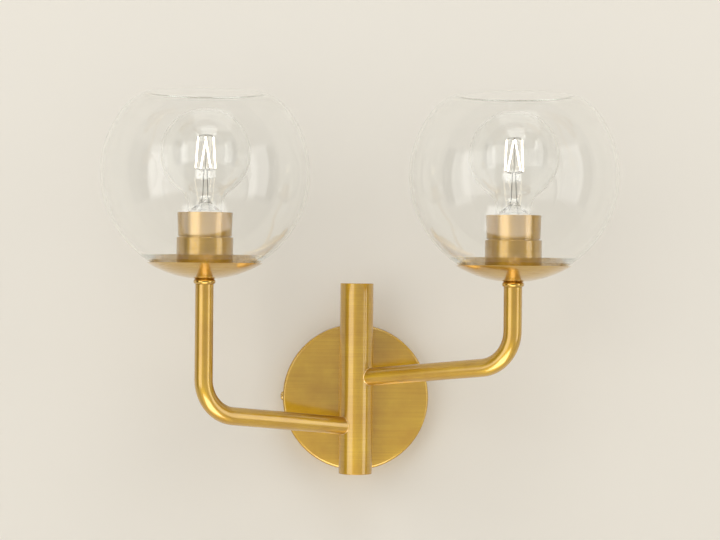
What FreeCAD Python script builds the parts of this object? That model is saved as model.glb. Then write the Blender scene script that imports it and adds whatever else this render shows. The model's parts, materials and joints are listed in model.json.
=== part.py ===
import FreeCAD, Part
import math
import os
import Sketcher

# Double arm wall sconce: a round canopy on the wall carries an upright column; two bent tube arms leave the
# column at different heights, come forward from the wall and each hold a dish, an open-topped clear globe,
# a lampholder and a globe bulb. Millimetres. The origin is the centre of the bracket on the wall plane, the
# wall is the plane y = 0, the fixture stands out towards -Y, +X is to the viewer's right and +Z is up.

Vector = FreeCAD.Vector
Rotation = FreeCAD.Rotation
DOC = FreeCAD.newDocument("WallSconce")
SHEET = DOC.addObject("Spreadsheet::Sheet", "Sizes")
PARTS = []
SIDES = (("left", -1), ("right", 1))


class Size:
    """A number together with the expression that ties it to the sheet of sizes."""

    def __init__(self, text, number):
        self.text = text
        self.number = float(number)

    def _pair(self, other, sign, value):
        return Size("(%s %s %s)" % (self.text, sign, as_size(other).text), value)

    def __add__(self, other):
        return self._pair(other, "+", self.number + float(other))

    def __radd__(self, other):
        return as_size(other) + self

    def __sub__(self, other):
        return self._pair(other, "-", self.number - float(other))

    def __rsub__(self, other):
        return as_size(other) - self

    def __mul__(self, other):
        return self._pair(other, "*", self.number * float(other))

    def __rmul__(self, other):
        return as_size(other) * self

    def __truediv__(self, other):
        return self._pair(other, "/", self.number / float(other))

    def __neg__(self):
        return as_size(0) - self

    def __float__(self):
        return self.number


def as_size(value):
    """A plain number as a Size; a Size is returned as it is."""
    return value if isinstance(value, Size) else Size(repr(float(value)), value)


def root(value):
    """Square root of a size."""
    return Size("sqrt(%s)" % value.text, math.sqrt(float(value)))


def cosine(angle):
    """Cosine of an angle in degrees."""
    return Size("cos(%s)" % angle.text, math.cos(math.radians(float(angle))))


def sine(angle):
    """Sine of an angle in degrees."""
    return Size("sin(%s)" % angle.text, math.sin(math.radians(float(angle))))


def size(alias, number):
    """Writes one driving size into the next row of the sheet and returns it."""
    size.row += 1
    cell = "A%d" % size.row
    SHEET.set(cell, str(number))
    SHEET.setAlias(cell, alias)
    return Size("Sizes.%s" % alias, number)


size.row = 0

# Canopy and what hangs it on the wall
canopy_od = size("canopy_od", 133.0)
canopy_depth = size("canopy_depth", 22.0)
canopy_wall = size("canopy_wall", 1.2)
canopy_edge = size("canopy_edge", 2.4)
bracket_width = size("bracket_width", 28.0)
bracket_thick = size("bracket_thick", 2.0)
bracket_ear = size("bracket_ear", 15.0)
bracket_bend = size("bracket_bend", 1.5)
slot_spacing = size("slot_spacing", 80.0)
slot_length = size("slot_length", 15.0)
slot_width = size("slot_width", 4.8)
wire_hole = size("wire_hole", 18.0)
side_screw_out = size("side_screw_out", 10.5)
side_screw_od = size("side_screw_od", 4.0)
side_screw_length = size("side_screw_length", 9.0)
side_head_od = size("side_head_od", 8.0)
side_head_height = size("side_head_height", 2.3)
ground_screw_x = size("ground_screw_x", 24.0)
catch_width = size("catch_width", 9.0)
catch_thick = size("catch_thick", 1.2)
catch_reach = size("catch_reach", 7.5)

# Threaded stems, nuts and washers
nipple_od = size("nipple_od", 10.0)
nipple_bore = size("nipple_bore", 7.0)
nut_across = size("nut_across", 14.0)
nut_height = size("nut_height", 3.5)
washer_thick = size("washer_thick", 1.0)
washer_od = size("washer_od", 20.0)
collar_od = size("collar_od", 22.0)
fit_gap = size("fit_gap", 0.05)
hole_gap = size("hole_gap", 0.2)
thread_spare = size("thread_spare", 2.0)

# Column
column_out = size("column_out", 45.0)
column_od = size("column_od", 30.0)
column_wall = size("column_wall", 1.5)
column_top = size("column_top", 104.3)
column_length = size("column_length", 171.5)
cap_thick = size("cap_thick", 3.0)
cap_edge = size("cap_edge", 0.5)
arm_wire_hole = size("arm_wire_hole", 10.0)
hole_cut = size("hole_cut", 8.0)

# Arms
arm_od = size("arm_od", 15.9)
arm_wall = size("arm_wall", 1.2)
arm_reach = size("arm_reach", 158.0)
arm_forward = size("arm_forward", 33.0)
arm_rise = size("arm_rise", 6.0)
arm_bend = size("arm_bend", 33.0)
arm_top = size("arm_top", 102.7)
left_arm_height = size("left_arm_height", -25.0)
right_arm_height = size("right_arm_height", 19.0)
bush_length = size("bush_length", 12.0)
lead_od = size("lead_od", 3.2)
lead_bend = size("lead_bend", 8.0)
lead_tail = size("lead_tail", 7.0)

# Ring, dish and globe
ring_od = size("ring_od", 19.2)
ring_height = size("ring_height", 4.8)
dish_od = size("dish_od", 100.0)
dish_seat_od = size("dish_seat_od", 17.9)
dish_clearance = size("dish_clearance", 5.0)
dish_wall = size("dish_wall", 1.2)
globe_od = size("globe_od", 180.0)
globe_wall = size("globe_wall", 2.2)
globe_flat_od = size("globe_flat_od", 47.5)
globe_hole = size("globe_hole", 32.0)
globe_base = size("globe_base", 3.9)
globe_floor_od = size("globe_floor_od", 37.0)
globe_shoulder = size("globe_shoulder", 38.0)
mouth_round_share = size("mouth_round_share", 0.444)
mouth_height_share = size("mouth_height_share", 0.767)
seat_thick = size("seat_thick", 0.5)
gasket_od = size("gasket_od", 44.0)
upper_gasket_od = size("upper_gasket_od", 36.0)
ring_bulge = size("ring_bulge", 1.6)

# Lampholder
cup_od = size("cup_od", 48.9)
cup_height = size("cup_height", 27.0)
cup_wall = size("cup_wall", 1.2)
groove_height = size("groove_height", 0.8)
spigot_od = size("spigot_od", 44.4)
spigot_wall = size("spigot_wall", 1.1)
spigot_height = size("spigot_height", 6.8)
thread_gap = size("thread_gap", 0.08)
sleeve_wall = size("sleeve_wall", 0.9)
sleeve_top_od = size("sleeve_top_od", 47.8)
sleeve_height = size("sleeve_height", 20.4)
sleeve_mouth = size("sleeve_mouth", 41.0)
core_flange = size("core_flange", 42.6)
core_recess = size("core_recess", 9.5)
core_recess_height = size("core_recess_height", 8.0)
contact_rise = size("contact_rise", 5.0)
contact_length = size("contact_length", 9.0)
shell_wall = size("shell_wall", 0.4)
bulb_cap_od = size("bulb_cap_od", 26.1)
bulb_tip_lift = size("bulb_tip_lift", 20.8)

# Bulb
bulb_od = size("bulb_od", 78.0)
bulb_centre = size("bulb_centre", 78.4)
bulb_wall = size("bulb_wall", 0.9)
bulb_neck_od = size("bulb_neck_od", 30.0)
bulb_neck_round = size("bulb_neck_round", 16.0)
bulb_shoulder = size("bulb_shoulder", 3.0)
cap_length = size("cap_length", 26.0)
cap_taper = size("cap_taper", 1.2)
cap_taper_height = size("cap_taper_height", 1.6)
filament_length = size("filament_length", 27.0)
filament_od = size("filament_od", 1.8)
filament_top_spread = size("filament_top_spread", 6.0)
filament_low_spread = size("filament_low_spread", 9.5)
filament_lift = size("filament_lift", 65.3)
frame_wire = size("frame_wire", 0.6)
bulge_lift = size("bulge_lift", 60.0)
bulb_insert = size("bulb_insert", 6.0)
insulator_height = size("insulator_height", 3.4)
contact_height = size("contact_height", 1.0)
stem_od = size("stem_od", 6.4)
stem_flare = size("stem_flare", 11.0)
stem_waist_od = size("stem_waist_od", 12.8)
stem_wall = size("stem_wall", 1.35)
stem_bulge = size("stem_bulge", 3.0)
stem_tip = size("stem_tip", 1.5)
crown_rise = size("crown_rise", 1.8)
FILAMENTS = 4
HEAD_EDGE_SHARE = 0.35
DRIVER_SLOT_SHARE = 0.4
RIM_ROUND_SHARE = 0.55
BULGE_ROUND_SHARE = 1.2
LEAF_REACH_SHARE = 0.75
LEAF_FOOT_SHARE = 0.25
LEAF_BEND_SHARE = 0.33
INSULATOR_SHARE = 0.75
NUT_SIDES = 6
TOUCH = 1e-6
LEAST_CUT = 0.01

# Places worked out from the sizes above
arm_run_x = arm_reach * cosine(arm_forward)
arm_run_y = arm_reach * sine(arm_forward)
arm_climb = arm_reach * sine(arm_rise) / cosine(arm_rise)
holder_y = -(column_out + arm_run_y)
column_r = column_od / 2
column_inner_r = column_r - column_wall
canopy_inner_r = canopy_od / 2 - canopy_wall
bracket_reach = root(canopy_inner_r * canopy_inner_r - bracket_width * bracket_width / 4) - hole_gap * 2
ring_top = arm_top + ring_height
globe_r = globe_od / 2
globe_inner_r = globe_r - globe_wall
globe_flat_r = globe_flat_od / 2
globe_mouth_round = globe_r * mouth_round_share
dish_sphere = globe_r + dish_clearance
dish_seat_r = dish_seat_od / 2
dish_centre = ring_top + root(dish_sphere * dish_sphere - dish_seat_r * dish_seat_r)
rim_z = dish_centre - root(dish_sphere * dish_sphere - dish_od * dish_od / 4)
dish_inner = dish_sphere - dish_wall
dish_floor = ring_top + dish_wall
gasket_r = gasket_od / 2
base_under = dish_centre - root(dish_inner * dish_inner - gasket_r * gasket_r) + seat_thick
base_over = base_under + globe_base
globe_centre = base_under + root(globe_r * globe_r - globe_flat_r * globe_flat_r)
cup_floor = base_over + washer_thick
cup_top = cup_floor + cup_height
sleeve_low = cup_top + groove_height
sleeve_top = sleeve_low + sleeve_height
spigot_top = cup_top + spigot_height
spigot_r = spigot_od / 2
shell_r = bulb_cap_od / 2 + fit_gap * 2
core_top = sleeve_top - sleeve_wall - hole_gap
bulb_tip = cup_floor + bulb_tip_lift
cap_top = bulb_tip + cap_length
core_recess_top = cup_floor + core_recess_height
arm_heights = {"left": left_arm_height, "right": right_arm_height}
nipple_r = nipple_od / 2
nipple_hole_r = nipple_r + hole_gap


# ---------------------------------------------------------------- tools for sketches and bodies

def bind(thing, prop, value):
    """Sets a property of an object and ties it to the sheet."""
    thing.setExpression(prop, as_size(value).text)


def new_body(label, x=0, y=0, z=0, rotation=None):
    """A body named label, standing at a point that is tied to the sheet."""
    body = DOC.addObject("PartDesign::Body", label)
    body.Label = label
    body.Placement = FreeCAD.Placement(Vector(float(x), float(y), float(z)), rotation or Rotation())
    for axis, value in (("x", x), ("y", y), ("z", z)):
        if isinstance(value, Size):
            bind(body, "Placement.Base.%s" % axis, value)
    PARTS.append(body)
    return body


def new_sketch(body, name, plane="XZ_Plane", lift=None, lift_axis="z"):
    """A sketch on one of the body's own origin planes, lifted off it if need be."""
    sketch = body.newObject("Sketcher::SketchObject", name)
    support = [plane_ for plane_ in body.Origin.OriginFeatures if plane_.Role == plane][0]
    sketch.AttachmentSupport = [(support, "")]
    sketch.MapMode = "FlatFace"
    if lift is not None:
        bind(sketch, "AttachmentOffset.Base.%s" % lift_axis, lift)
    return sketch


def tie(sketch, kind, geometry, point, value, name):
    """Ties one coordinate of a point of a sketch to the sheet."""
    if isinstance(value, Size) or float(value) != 0:
        index = sketch.addConstraint(Sketcher.Constraint(kind, -1, 1, geometry, point, float(value)))
        sketch.renameConstraint(index, name)
        sketch.setExpression("Constraints.%s" % name, as_size(value).text)
    else:
        axis = -2 if kind == "DistanceX" else -1
        sketch.addConstraint(Sketcher.Constraint("PointOnObject", geometry, point, axis))


def outline(sketch, corners, closed=True):
    """Draws a chain of lines and arcs.

    Each corner is (x, y) or (x, y, radius): a radius bends the edge that leaves the corner, with its centre
    to the left of the way the outline runs, or to the right where bend is given as (radius, -1).
    """
    count = len(corners)
    edges = []
    for index in range(count if closed else count - 1):
        here = corners[index]
        there = corners[(index + 1) % count]
        start = Vector(float(here[0]), float(here[1]), 0)
        end = Vector(float(there[0]), float(there[1]), 0)
        if len(here) == 2:
            geometry = sketch.addGeometry(Part.LineSegment(start, end), False)
            edges.append((geometry, 1, 2, None))
            continue
        radius, side = here[2] if isinstance(here[2], tuple) else (here[2], 1)
        chord = end - start
        rise = math.sqrt(max(float(radius) ** 2 - (chord.Length / 2) ** 2, 0.0))
        normal = Vector(-chord.y, chord.x, 0).normalize()
        centre = (start + end) * 0.5 + normal * (rise * side)
        angles = [math.atan2(point.y - centre.y, point.x - centre.x) for point in (start, end)]
        if side < 0:
            angles.reverse()
        circle = Part.Circle(centre, Vector(0, 0, 1), float(radius))
        geometry = sketch.addGeometry(Part.ArcOfCircle(circle, angles[0], angles[1]), False)
        edges.append((geometry, 1, 2, radius) if side > 0 else (geometry, 2, 1, radius))
    for index, (geometry, first, last, radius) in enumerate(edges):
        if index + 1 < len(edges) or closed:
            following = edges[(index + 1) % len(edges)]
            sketch.addConstraint(Sketcher.Constraint("Coincident", geometry, last, following[0], following[1]))
        tie(sketch, "DistanceX", geometry, first, corners[index][0], "x%d" % index)
        tie(sketch, "DistanceY", geometry, first, corners[index][1], "y%d" % index)
    if not closed:
        geometry, first, last, radius = edges[-1]
        tie(sketch, "DistanceX", geometry, last, corners[-1][0], "x%d" % len(edges))
        tie(sketch, "DistanceY", geometry, last, corners[-1][1], "y%d" % len(edges))
    for index, (geometry, first, last, radius) in enumerate(edges):
        if radius is not None and half_round(corners[index], corners[(index + 1) % count], radius):
            sketch.addConstraint(Sketcher.Constraint("Symmetric", geometry, first, geometry, last, geometry, 3))
        elif radius is not None:
            number = sketch.addConstraint(Sketcher.Constraint("Radius", geometry, float(radius)))
            sketch.renameConstraint(number, "r%d" % index)
            sketch.setExpression("Constraints.r%d" % index, as_size(radius).text)


def half_round(start, end, radius):
    """Whether an arc of this radius between two corners is a full half circle."""
    return abs(math.hypot(float(end[0] - start[0]), float(end[1] - start[1])) - 2 * float(radius)) < TOUCH


def circle(sketch, radius, x=0, y=0, name="c"):
    """Draws a circle whose centre and radius are tied to the sheet."""
    shape = Part.Circle(Vector(float(x), float(y), 0), Vector(0, 0, 1), float(radius))
    geometry = sketch.addGeometry(shape, False)
    tie(sketch, "DistanceX", geometry, 3, x, name + "x")
    tie(sketch, "DistanceY", geometry, 3, y, name + "y")
    number = sketch.addConstraint(Sketcher.Constraint("Radius", geometry, float(radius)))
    sketch.renameConstraint(number, name + "r")
    sketch.setExpression("Constraints.%sr" % name, as_size(radius).text)


def box_corners(width, height, x=0, y=0):
    """Corners of a rectangle about a point."""
    half_w = width / 2
    half_h = height / 2
    return [(x - half_w, y - half_h), (x + half_w, y - half_h), (x + half_w, y + half_h), (x - half_w, y + half_h)]


def add_feature(body, kind, name, sketch, **settings):
    """Adds a PartDesign feature made from a sketch."""
    feature = body.newObject("PartDesign::%s" % kind, name)
    feature.Profile = sketch
    for prop, value in settings.items():
        if isinstance(value, Size):
            bind(feature, prop, value)
        else:
            setattr(feature, prop, value)
    sketch.Visibility = False
    return feature


def revolve(body, name, corners, kind="Revolution"):
    """Turns an outline of (radius, height) corners about the body's Z axis."""
    sketch = new_sketch(body, name + "_outline")
    outline(sketch, corners)
    return add_feature(body, kind, name, sketch, ReferenceAxis=(sketch, ["V_Axis"]), Angle=360.0)


def turned(label, corners, x=0, y=0, z=0, rotation=None):
    """A turned piece: one outline revolved about its own axis."""
    body = new_body(label, x, y, z, rotation)
    revolve(body, "turned_form", corners)
    return body


def cut_through(body, name, sketch):
    """Cuts a sketch right through the body, both ways from its plane."""
    before = solid_volume(body)
    pocket = add_feature(body, "Pocket", name, sketch, Type="ThroughAll", Midplane=True)
    DOC.recompute()
    if before - solid_volume(body) < LEAST_CUT:
        raise ValueError("%s of %s cuts nothing" % (name, body.Label))
    return pocket


def solid_volume(body):
    """Volume of a body as it stands."""
    DOC.recompute()
    return body.Shape.Volume


def feature_part(label, shape, placement=None):
    """A piece whose form is worked out in code from the same sizes."""
    piece = DOC.addObject("Part::Feature", label)
    piece.Label = label
    piece.Shape = shape
    if placement:
        piece.Placement = placement
    PARTS.append(piece)
    return piece


OUT_OF_WALL = Rotation(Vector(1, 0, 0), 90)
TO_THE_LEFT = Rotation(Vector(0, 1, 0), -90)


# ---------------------------------------------------------------- wall side

def make_wall_bracket():
    """Steel strap on the wall with two bent ears, slots for the box screws and a wire hole."""
    body = new_body("wall_bracket")
    outside_bend = bracket_bend + bracket_thick
    reach = bracket_reach
    inner = reach - bracket_thick
    sketch = new_sketch(body, "strap_side", "XY_Plane")
    outline(sketch, [
        (-(reach - outside_bend), 0),
        (reach - outside_bend, 0, (outside_bend, -1)),
        (reach, -outside_bend),
        (reach, -bracket_ear),
        (inner, -bracket_ear),
        (inner, -outside_bend, (bracket_bend, 1)),
        (inner - bracket_bend, -bracket_thick),
        (-(inner - bracket_bend), -bracket_thick, (bracket_bend, 1)),
        (-inner, -outside_bend),
        (-inner, -bracket_ear),
        (-reach, -bracket_ear),
        (-reach, -outside_bend, (outside_bend, -1)),
    ])
    add_feature(body, "Pad", "strap", sketch, Length=bracket_width, Midplane=True)
    holes = new_sketch(body, "wire_hole_sketch", "XZ_Plane")
    circle(holes, wire_hole / 2, name="wire")
    circle(holes, side_screw_od / 2 + fit_gap, x=ground_screw_x, name="ground")
    cut_through(body, "wire_holes", holes)
    slots = new_sketch(body, "slot_sketch", "XZ_Plane")
    straight = (slot_length - slot_width) / 2
    half = slot_width / 2
    middle = slot_spacing / 2
    outline(slots, [
        (middle - straight, -half),
        (middle + straight, -half, half),
        (middle + straight, half),
        (middle - straight, half, half),
    ])
    slot = add_feature(body, "Pocket", "box_screw_slot", slots, Type="ThroughAll", Midplane=True)
    mirrored = body.newObject("PartDesign::Mirrored", "both_slots")
    mirrored.Originals = [slot]
    side_plane = [plane for plane in body.Origin.OriginFeatures if plane.Role == "YZ_Plane"][0]
    mirrored.MirrorPlane = (side_plane, [""])
    body.Tip = mirrored
    DOC.recompute()
    left = new_sketch(body, "ear_hole_sketch", "YZ_Plane", lift=-reach)
    circle(left, side_screw_od / 2 + fit_gap, x=-side_screw_out)
    add_feature(body, "Pocket", "screw_hole", left, Length=hole_cut, Midplane=True)
    right = new_sketch(body, "ear_slot_sketch", "YZ_Plane", lift=reach)
    outline(right, box_corners(catch_thick + hole_gap * 2, catch_width + hole_gap * 2, x=-side_screw_out))
    add_feature(body, "Pocket", "catch_slot", right, Length=hole_cut, Midplane=True)
    return body


def round_head_screw(label, shaft_r, shaft_length, head_od, head_height, place, rotation):
    """A round-headed slotted screw standing along +Z, with its head's underside at the point given."""
    body = new_body(label, *place, rotation=rotation)
    head_r = head_od / 2
    edge = head_height * HEAD_EDGE_SHARE
    rise = head_height - edge
    dome = (head_r * head_r + rise * rise) / (rise * 2)
    revolve(body, "screw_form", [
        (0, -shaft_length),
        (shaft_r, -shaft_length),
        (shaft_r, 0),
        (head_r, 0),
        (head_r, edge, dome),
        (0, head_height),
    ])
    slot = new_sketch(body, "slot_sketch")
    outline(slot, box_corners(head_height * DRIVER_SLOT_SHARE, head_height, y=head_height))
    cut_through(body, "driver_slot", slot)
    return body


def make_canopy():
    """Spun brass canopy: an open-backed cup with a rounded front edge and a stem hole."""
    body = new_body("canopy", rotation=OUT_OF_WALL)
    outer = canopy_od / 2
    inside_edge = canopy_edge - canopy_wall
    revolve(body, "spun_form", [
        (canopy_inner_r, 0),
        (outer, 0),
        (outer, canopy_depth - canopy_edge, canopy_edge),
        (outer - canopy_edge, canopy_depth),
        (nipple_hole_r, canopy_depth),
        (nipple_hole_r, canopy_depth - canopy_wall),
        (outer - canopy_edge, canopy_depth - canopy_wall, (inside_edge, -1)),
        (canopy_inner_r, canopy_depth - canopy_edge),
    ])
    hole = new_sketch(body, "screw_hole_sketch", "YZ_Plane", lift=-canopy_od / 2)
    circle(hole, side_screw_od / 2 + hole_gap, y=side_screw_out)
    add_feature(body, "Pocket", "side_screw_hole", hole, Length=hole_cut, Midplane=True)
    return body


def make_canopy_catch():
    """Bent steel clip inside the canopy, opposite the side screw, whose tongue enters the bracket's ear."""
    body = new_body("canopy_catch")
    seat = root(canopy_inner_r * canopy_inner_r - catch_width * catch_width / 4) - fit_gap
    tip = seat - catch_reach
    low = -(side_screw_out - catch_thick / 2)
    high = low - catch_thick
    sketch = new_sketch(body, "clip_side", "XY_Plane")
    outline(sketch, [
        (seat, high),
        (seat, high + catch_width),
        (seat - catch_thick, high + catch_width),
        (seat - catch_thick, low),
        (tip, low),
        (tip, high),
    ])
    add_feature(body, "Pad", "clip", sketch, Length=catch_width, Midplane=True)
    return body


def hex_nut(label, across, height, bore_r, x=0, y=0, z=0, rotation=None):
    """A six-sided nut with a plain bore, lying on its own XY plane."""
    body = new_body(label, x, y, z, rotation)
    sketch = new_sketch(body, "hexagon", "XY_Plane")
    flat = across / 2
    high = flat / cosine(as_size(180 / NUT_SIDES))
    low = high / 2
    outline(sketch, [(0, -high), (flat, -low), (flat, low), (0, high), (-flat, low), (-flat, -low)])
    circle(sketch, bore_r)
    add_feature(body, "Pad", "nut_form", sketch, Length=height)
    return body


def tube_corners(inner, outer, low, high):
    """Outline of a plain ring or tube between two heights."""
    return [(inner, low), (outer, low), (outer, high), (inner, high)]


def make_stem():
    """Turned collar between canopy and column, with the hollow nipple, washer and locknut behind it."""
    collar_r = collar_od / 2
    collar = new_body("stem_collar", rotation=OUT_OF_WALL)
    revolve(collar, "collar_form", [
        (nipple_r + fit_gap, canopy_depth),
        (collar_r - cap_edge, canopy_depth),
        (collar_r, canopy_depth + cap_edge),
        (collar_r, column_out),
        (nipple_r + fit_gap, column_out),
    ])
    saddle = new_sketch(collar, "saddle_sketch")
    circle(saddle, column_r + fit_gap, y=column_out)
    cut_through(collar, "saddle", saddle)

    face = canopy_depth - canopy_wall
    nut_face = face - washer_thick
    tail = nut_face - nut_height - thread_spare
    turned("stem_washer", tube_corners(nipple_r + fit_gap, washer_od / 2, nut_face, face), rotation=OUT_OF_WALL)
    hex_nut("stem_locknut", nut_across, nut_height, nipple_r + fit_gap, y=-(nut_face - nut_height),
            rotation=OUT_OF_WALL)
    inside = column_out - column_inner_r + thread_spare
    turned("stem_nipple", tube_corners(nipple_bore / 2, nipple_r, tail, inside), rotation=OUT_OF_WALL)


# ---------------------------------------------------------------- column

def make_column():
    """Upright tube with a hole for the stem behind and one for each arm's leads, closed by flush caps."""
    low = column_top - column_length
    body = new_body("column", y=-column_out)
    revolve(body, "tube", [
        (column_inner_r, low),
        (column_r - cap_edge, low),
        (column_r, low + cap_edge),
        (column_r, column_top - cap_edge),
        (column_r - cap_edge, column_top),
        (column_inner_r, column_top),
    ])
    back = new_sketch(body, "stem_hole_sketch", lift=-column_r)
    circle(back, nipple_hole_r)
    add_feature(body, "Pocket", "stem_hole", back, Length=hole_cut, Midplane=True)
    for side, sign in SIDES:
        turn = Rotation(Vector(0, 1, 0), -float(arm_forward) if sign > 0 else float(arm_forward) - 180)
        hole = new_sketch(body, side + "_lead_hole_sketch", "YZ_Plane")
        hole.AttachmentOffset = FreeCAD.Placement(turn.multVec(Vector(0, 0, float(column_r))), turn)
        height = arm_heights[side] + column_r * sine(arm_rise) / cosine(arm_rise)
        circle(hole, arm_wire_hole / 2, y=height)
        add_feature(body, "Pocket", side + "_lead_hole", hole, Length=hole_cut, Midplane=True)
    plug_r = column_inner_r - fit_gap
    for label, foot, away in (("column_top_cap", column_top, -1), ("column_bottom_cap", low, 1)):
        turned(label, [
            (0, foot),
            (plug_r - cap_edge, foot),
            (plug_r, foot + cap_edge * away),
            (plug_r, foot + cap_thick * away),
            (0, foot + cap_thick * away),
        ][::-away], y=-column_out)


# ---------------------------------------------------------------- arms

def make_arm(side, sign):
    """Bent tube: a run that rises outward, one bend and an upright leg, coped to the column's round wall."""
    yaw = -float(arm_forward) if sign > 0 else float(arm_forward) - 180
    body = new_body(side + "_arm", y=-column_out, rotation=Rotation(Vector(0, 0, 1), yaw))
    height = arm_heights[side]
    slope = sine(arm_rise) / cosine(arm_rise)
    start = column_r / 2
    corner = height + arm_climb
    tangent = arm_bend * (1 - sine(arm_rise)) / cosine(arm_rise)
    path = new_sketch(body, "route")
    outline(path, [
        (start, height + start * slope),
        (arm_reach - tangent * cosine(arm_rise), corner - tangent * sine(arm_rise), arm_bend),
        (arm_reach, corner + tangent),
        (arm_reach, arm_top),
    ], closed=False)
    section = new_sketch(body, "section", "XY_Plane", lift=arm_top)
    circle(section, arm_od / 2, x=arm_reach, name="outer")
    circle(section, arm_od / 2 - arm_wall, x=arm_reach, name="inner")
    DOC.recompute()
    pipe = body.newObject("PartDesign::AdditivePipe", "bent_tube")
    pipe.Profile = section
    pipe.Spine = (path, ["Edge1", "Edge2", "Edge3"])
    path.Visibility = False
    section.Visibility = False
    cope = new_sketch(body, "cope_sketch", "XY_Plane")
    circle(cope, column_r + fit_gap)
    cut_through(body, "cope", cope)
    run = (arm_reach - tangent * cosine(arm_rise)) / cosine(arm_rise)
    turn = arm_bend * math.radians(90 - float(arm_rise))
    length = float(run) + float(turn) + float(arm_top - corner - tangent)
    area = math.pi * (float(arm_od) - float(arm_wall)) * float(arm_wall)
    print("%s arm: tube %.1f mm long, volume %.0f of about %.0f mm3" % (side, length, body.Shape.Volume,
                                                                       area * (length - float(column_r))))


def make_leads(side, sign):
    """Sleeved pair of leads from the canopy through the stem, column, arm and holder nipple."""
    beside = lead_od / 2 + fit_gap
    slope = sine(arm_rise) / cosine(arm_rise)
    height = arm_heights[side]
    points = [
        Vector(sign * float(beside), -float(lead_tail), 0),
        Vector(sign * float(beside), -float(column_out), 0),
        Vector(sign * float(beside), -float(column_out), float(height)),
        Vector(sign * float(arm_run_x), float(holder_y), float(height + arm_reach * slope)),
        Vector(sign * float(arm_run_x), float(holder_y), float(core_recess_top - fit_gap)),
    ]
    radii = [float(lead_bend), float(lead_bend), float(arm_bend)]
    edges = []
    here = points[0]
    for corner, following, radius in zip(points[1:-1], points[2:], radii):
        into = (corner - here).normalize()
        out = (following - corner).normalize()
        half_turn = into.getAngle(out) / 2
        tangent = radius * math.tan(half_turn)
        first = corner - into * tangent
        last = corner + out * tangent
        bisector = (out - into).normalize()
        middle = corner + bisector * (radius / math.cos(half_turn) - radius)
        edges.append(Part.LineSegment(here, first).toShape())
        edges.append(Part.Arc(first, middle, last).toShape())
        here = last
    edges.append(Part.LineSegment(here, points[-1]).toShape())
    route = Part.Wire(edges)
    lead_r = float(lead_od) / 2
    section = Part.Wire([Part.Circle(points[0], Vector(0, 1, 0), lead_r).toShape()])
    lead = route.makePipeShell([section], True, False)
    print("%s leads: %.1f mm long, volume ratio %.4f" % (side, route.Length,
                                                         lead.Volume / (route.Length * math.pi * lead_r ** 2)))
    feature_part(side + "_leads", lead)


# ---------------------------------------------------------------- what stands on each arm

def make_seat(side, x):
    """Bush, bead ring, hollow nipple, dish and moulded gasket under the globe."""
    y = holder_y
    bush_r = arm_od / 2 - arm_wall - fit_gap
    turned(side + "_arm_bush", tube_corners(nipple_r + fit_gap, bush_r, arm_top - bush_length, arm_top), x, y)
    waist = ring_od / 2 - ring_bulge
    bead = (ring_height * ring_height / 4 + ring_bulge * ring_bulge) / (ring_bulge * 2)
    turned(side + "_arm_ring", [
        (nipple_r + fit_gap, arm_top),
        (waist, arm_top, bead),
        (waist, ring_top),
        (nipple_r + fit_gap, ring_top),
    ], x, y)
    low = arm_top - bush_length + thread_spare
    high = cup_floor + cup_wall + nut_height + thread_spare
    turned(side + "_holder_nipple", tube_corners(nipple_bore / 2, nipple_r, low, high), x, y)

    rim_r = dish_od / 2
    rim_drop = dish_centre - rim_z
    rim_inner = root(dish_inner * dish_inner - rim_drop * rim_drop)
    floor_r = root(dish_inner * dish_inner - (dish_centre - dish_floor) * (dish_centre - dish_floor))
    turned(side + "_dish", [
        (nipple_hole_r, ring_top),
        (dish_seat_r, ring_top, dish_sphere),
        (rim_r, rim_z),
        (rim_inner, rim_z, (dish_inner, -1)),
        (floor_r, dish_floor),
        (nipple_hole_r, dish_floor),
    ], x, y)
    under = dish_inner - fit_gap
    under_floor = dish_floor + fit_gap
    turned(side + "_seat_gasket", [
        (nipple_hole_r, under_floor),
        (root(under * under - (dish_centre - under_floor) * (dish_centre - under_floor)), under_floor, under),
        (gasket_r, dish_centre - root(under * under - gasket_r * gasket_r)),
        (gasket_r, base_under),
        (globe_hole / 2 - hole_gap, base_under),
        (globe_hole / 2 - hole_gap, base_over - hole_gap),
        (nipple_hole_r, base_over - hole_gap),
    ], x, y)


def make_globe(side, x):
    """Clear blown globe: a flat ground base with a hole, a round belly and a drawn-in open mouth."""
    hole = globe_hole / 2
    across = cosine(globe_shoulder)
    up = sine(globe_shoulder)
    mouth_x = (globe_r - globe_mouth_round) * across
    mouth_z = globe_centre + (globe_r - globe_mouth_round) * up
    mouth_rise = globe_centre + globe_r * mouth_height_share - mouth_z
    mouth_run = root(globe_mouth_round * globe_mouth_round - mouth_rise * mouth_rise)
    thin = 1 - globe_wall / globe_mouth_round
    floor_r = globe_floor_od / 2
    drop = globe_centre - base_over
    base_round = (globe_inner_r * globe_inner_r - floor_r * floor_r - drop * drop) / ((globe_inner_r - drop) * 2)
    lean = globe_inner_r / (globe_inner_r - base_round)
    turned(side + "_globe", [
        (hole, base_under),
        (globe_flat_r, base_under, globe_r),
        (globe_r * across, globe_centre + globe_r * up, globe_mouth_round),
        (mouth_x + mouth_run, mouth_z + mouth_rise, globe_wall * RIM_ROUND_SHARE),
        (mouth_x + mouth_run * thin, mouth_z + mouth_rise * thin, (globe_mouth_round - globe_wall, -1)),
        (globe_inner_r * across, globe_centre + globe_inner_r * up, (globe_inner_r, -1)),
        (floor_r * lean, globe_centre - (drop - base_round) * lean, (base_round, -1)),
        (floor_r, base_over),
        (hole, base_over),
    ], x, holder_y)


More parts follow.
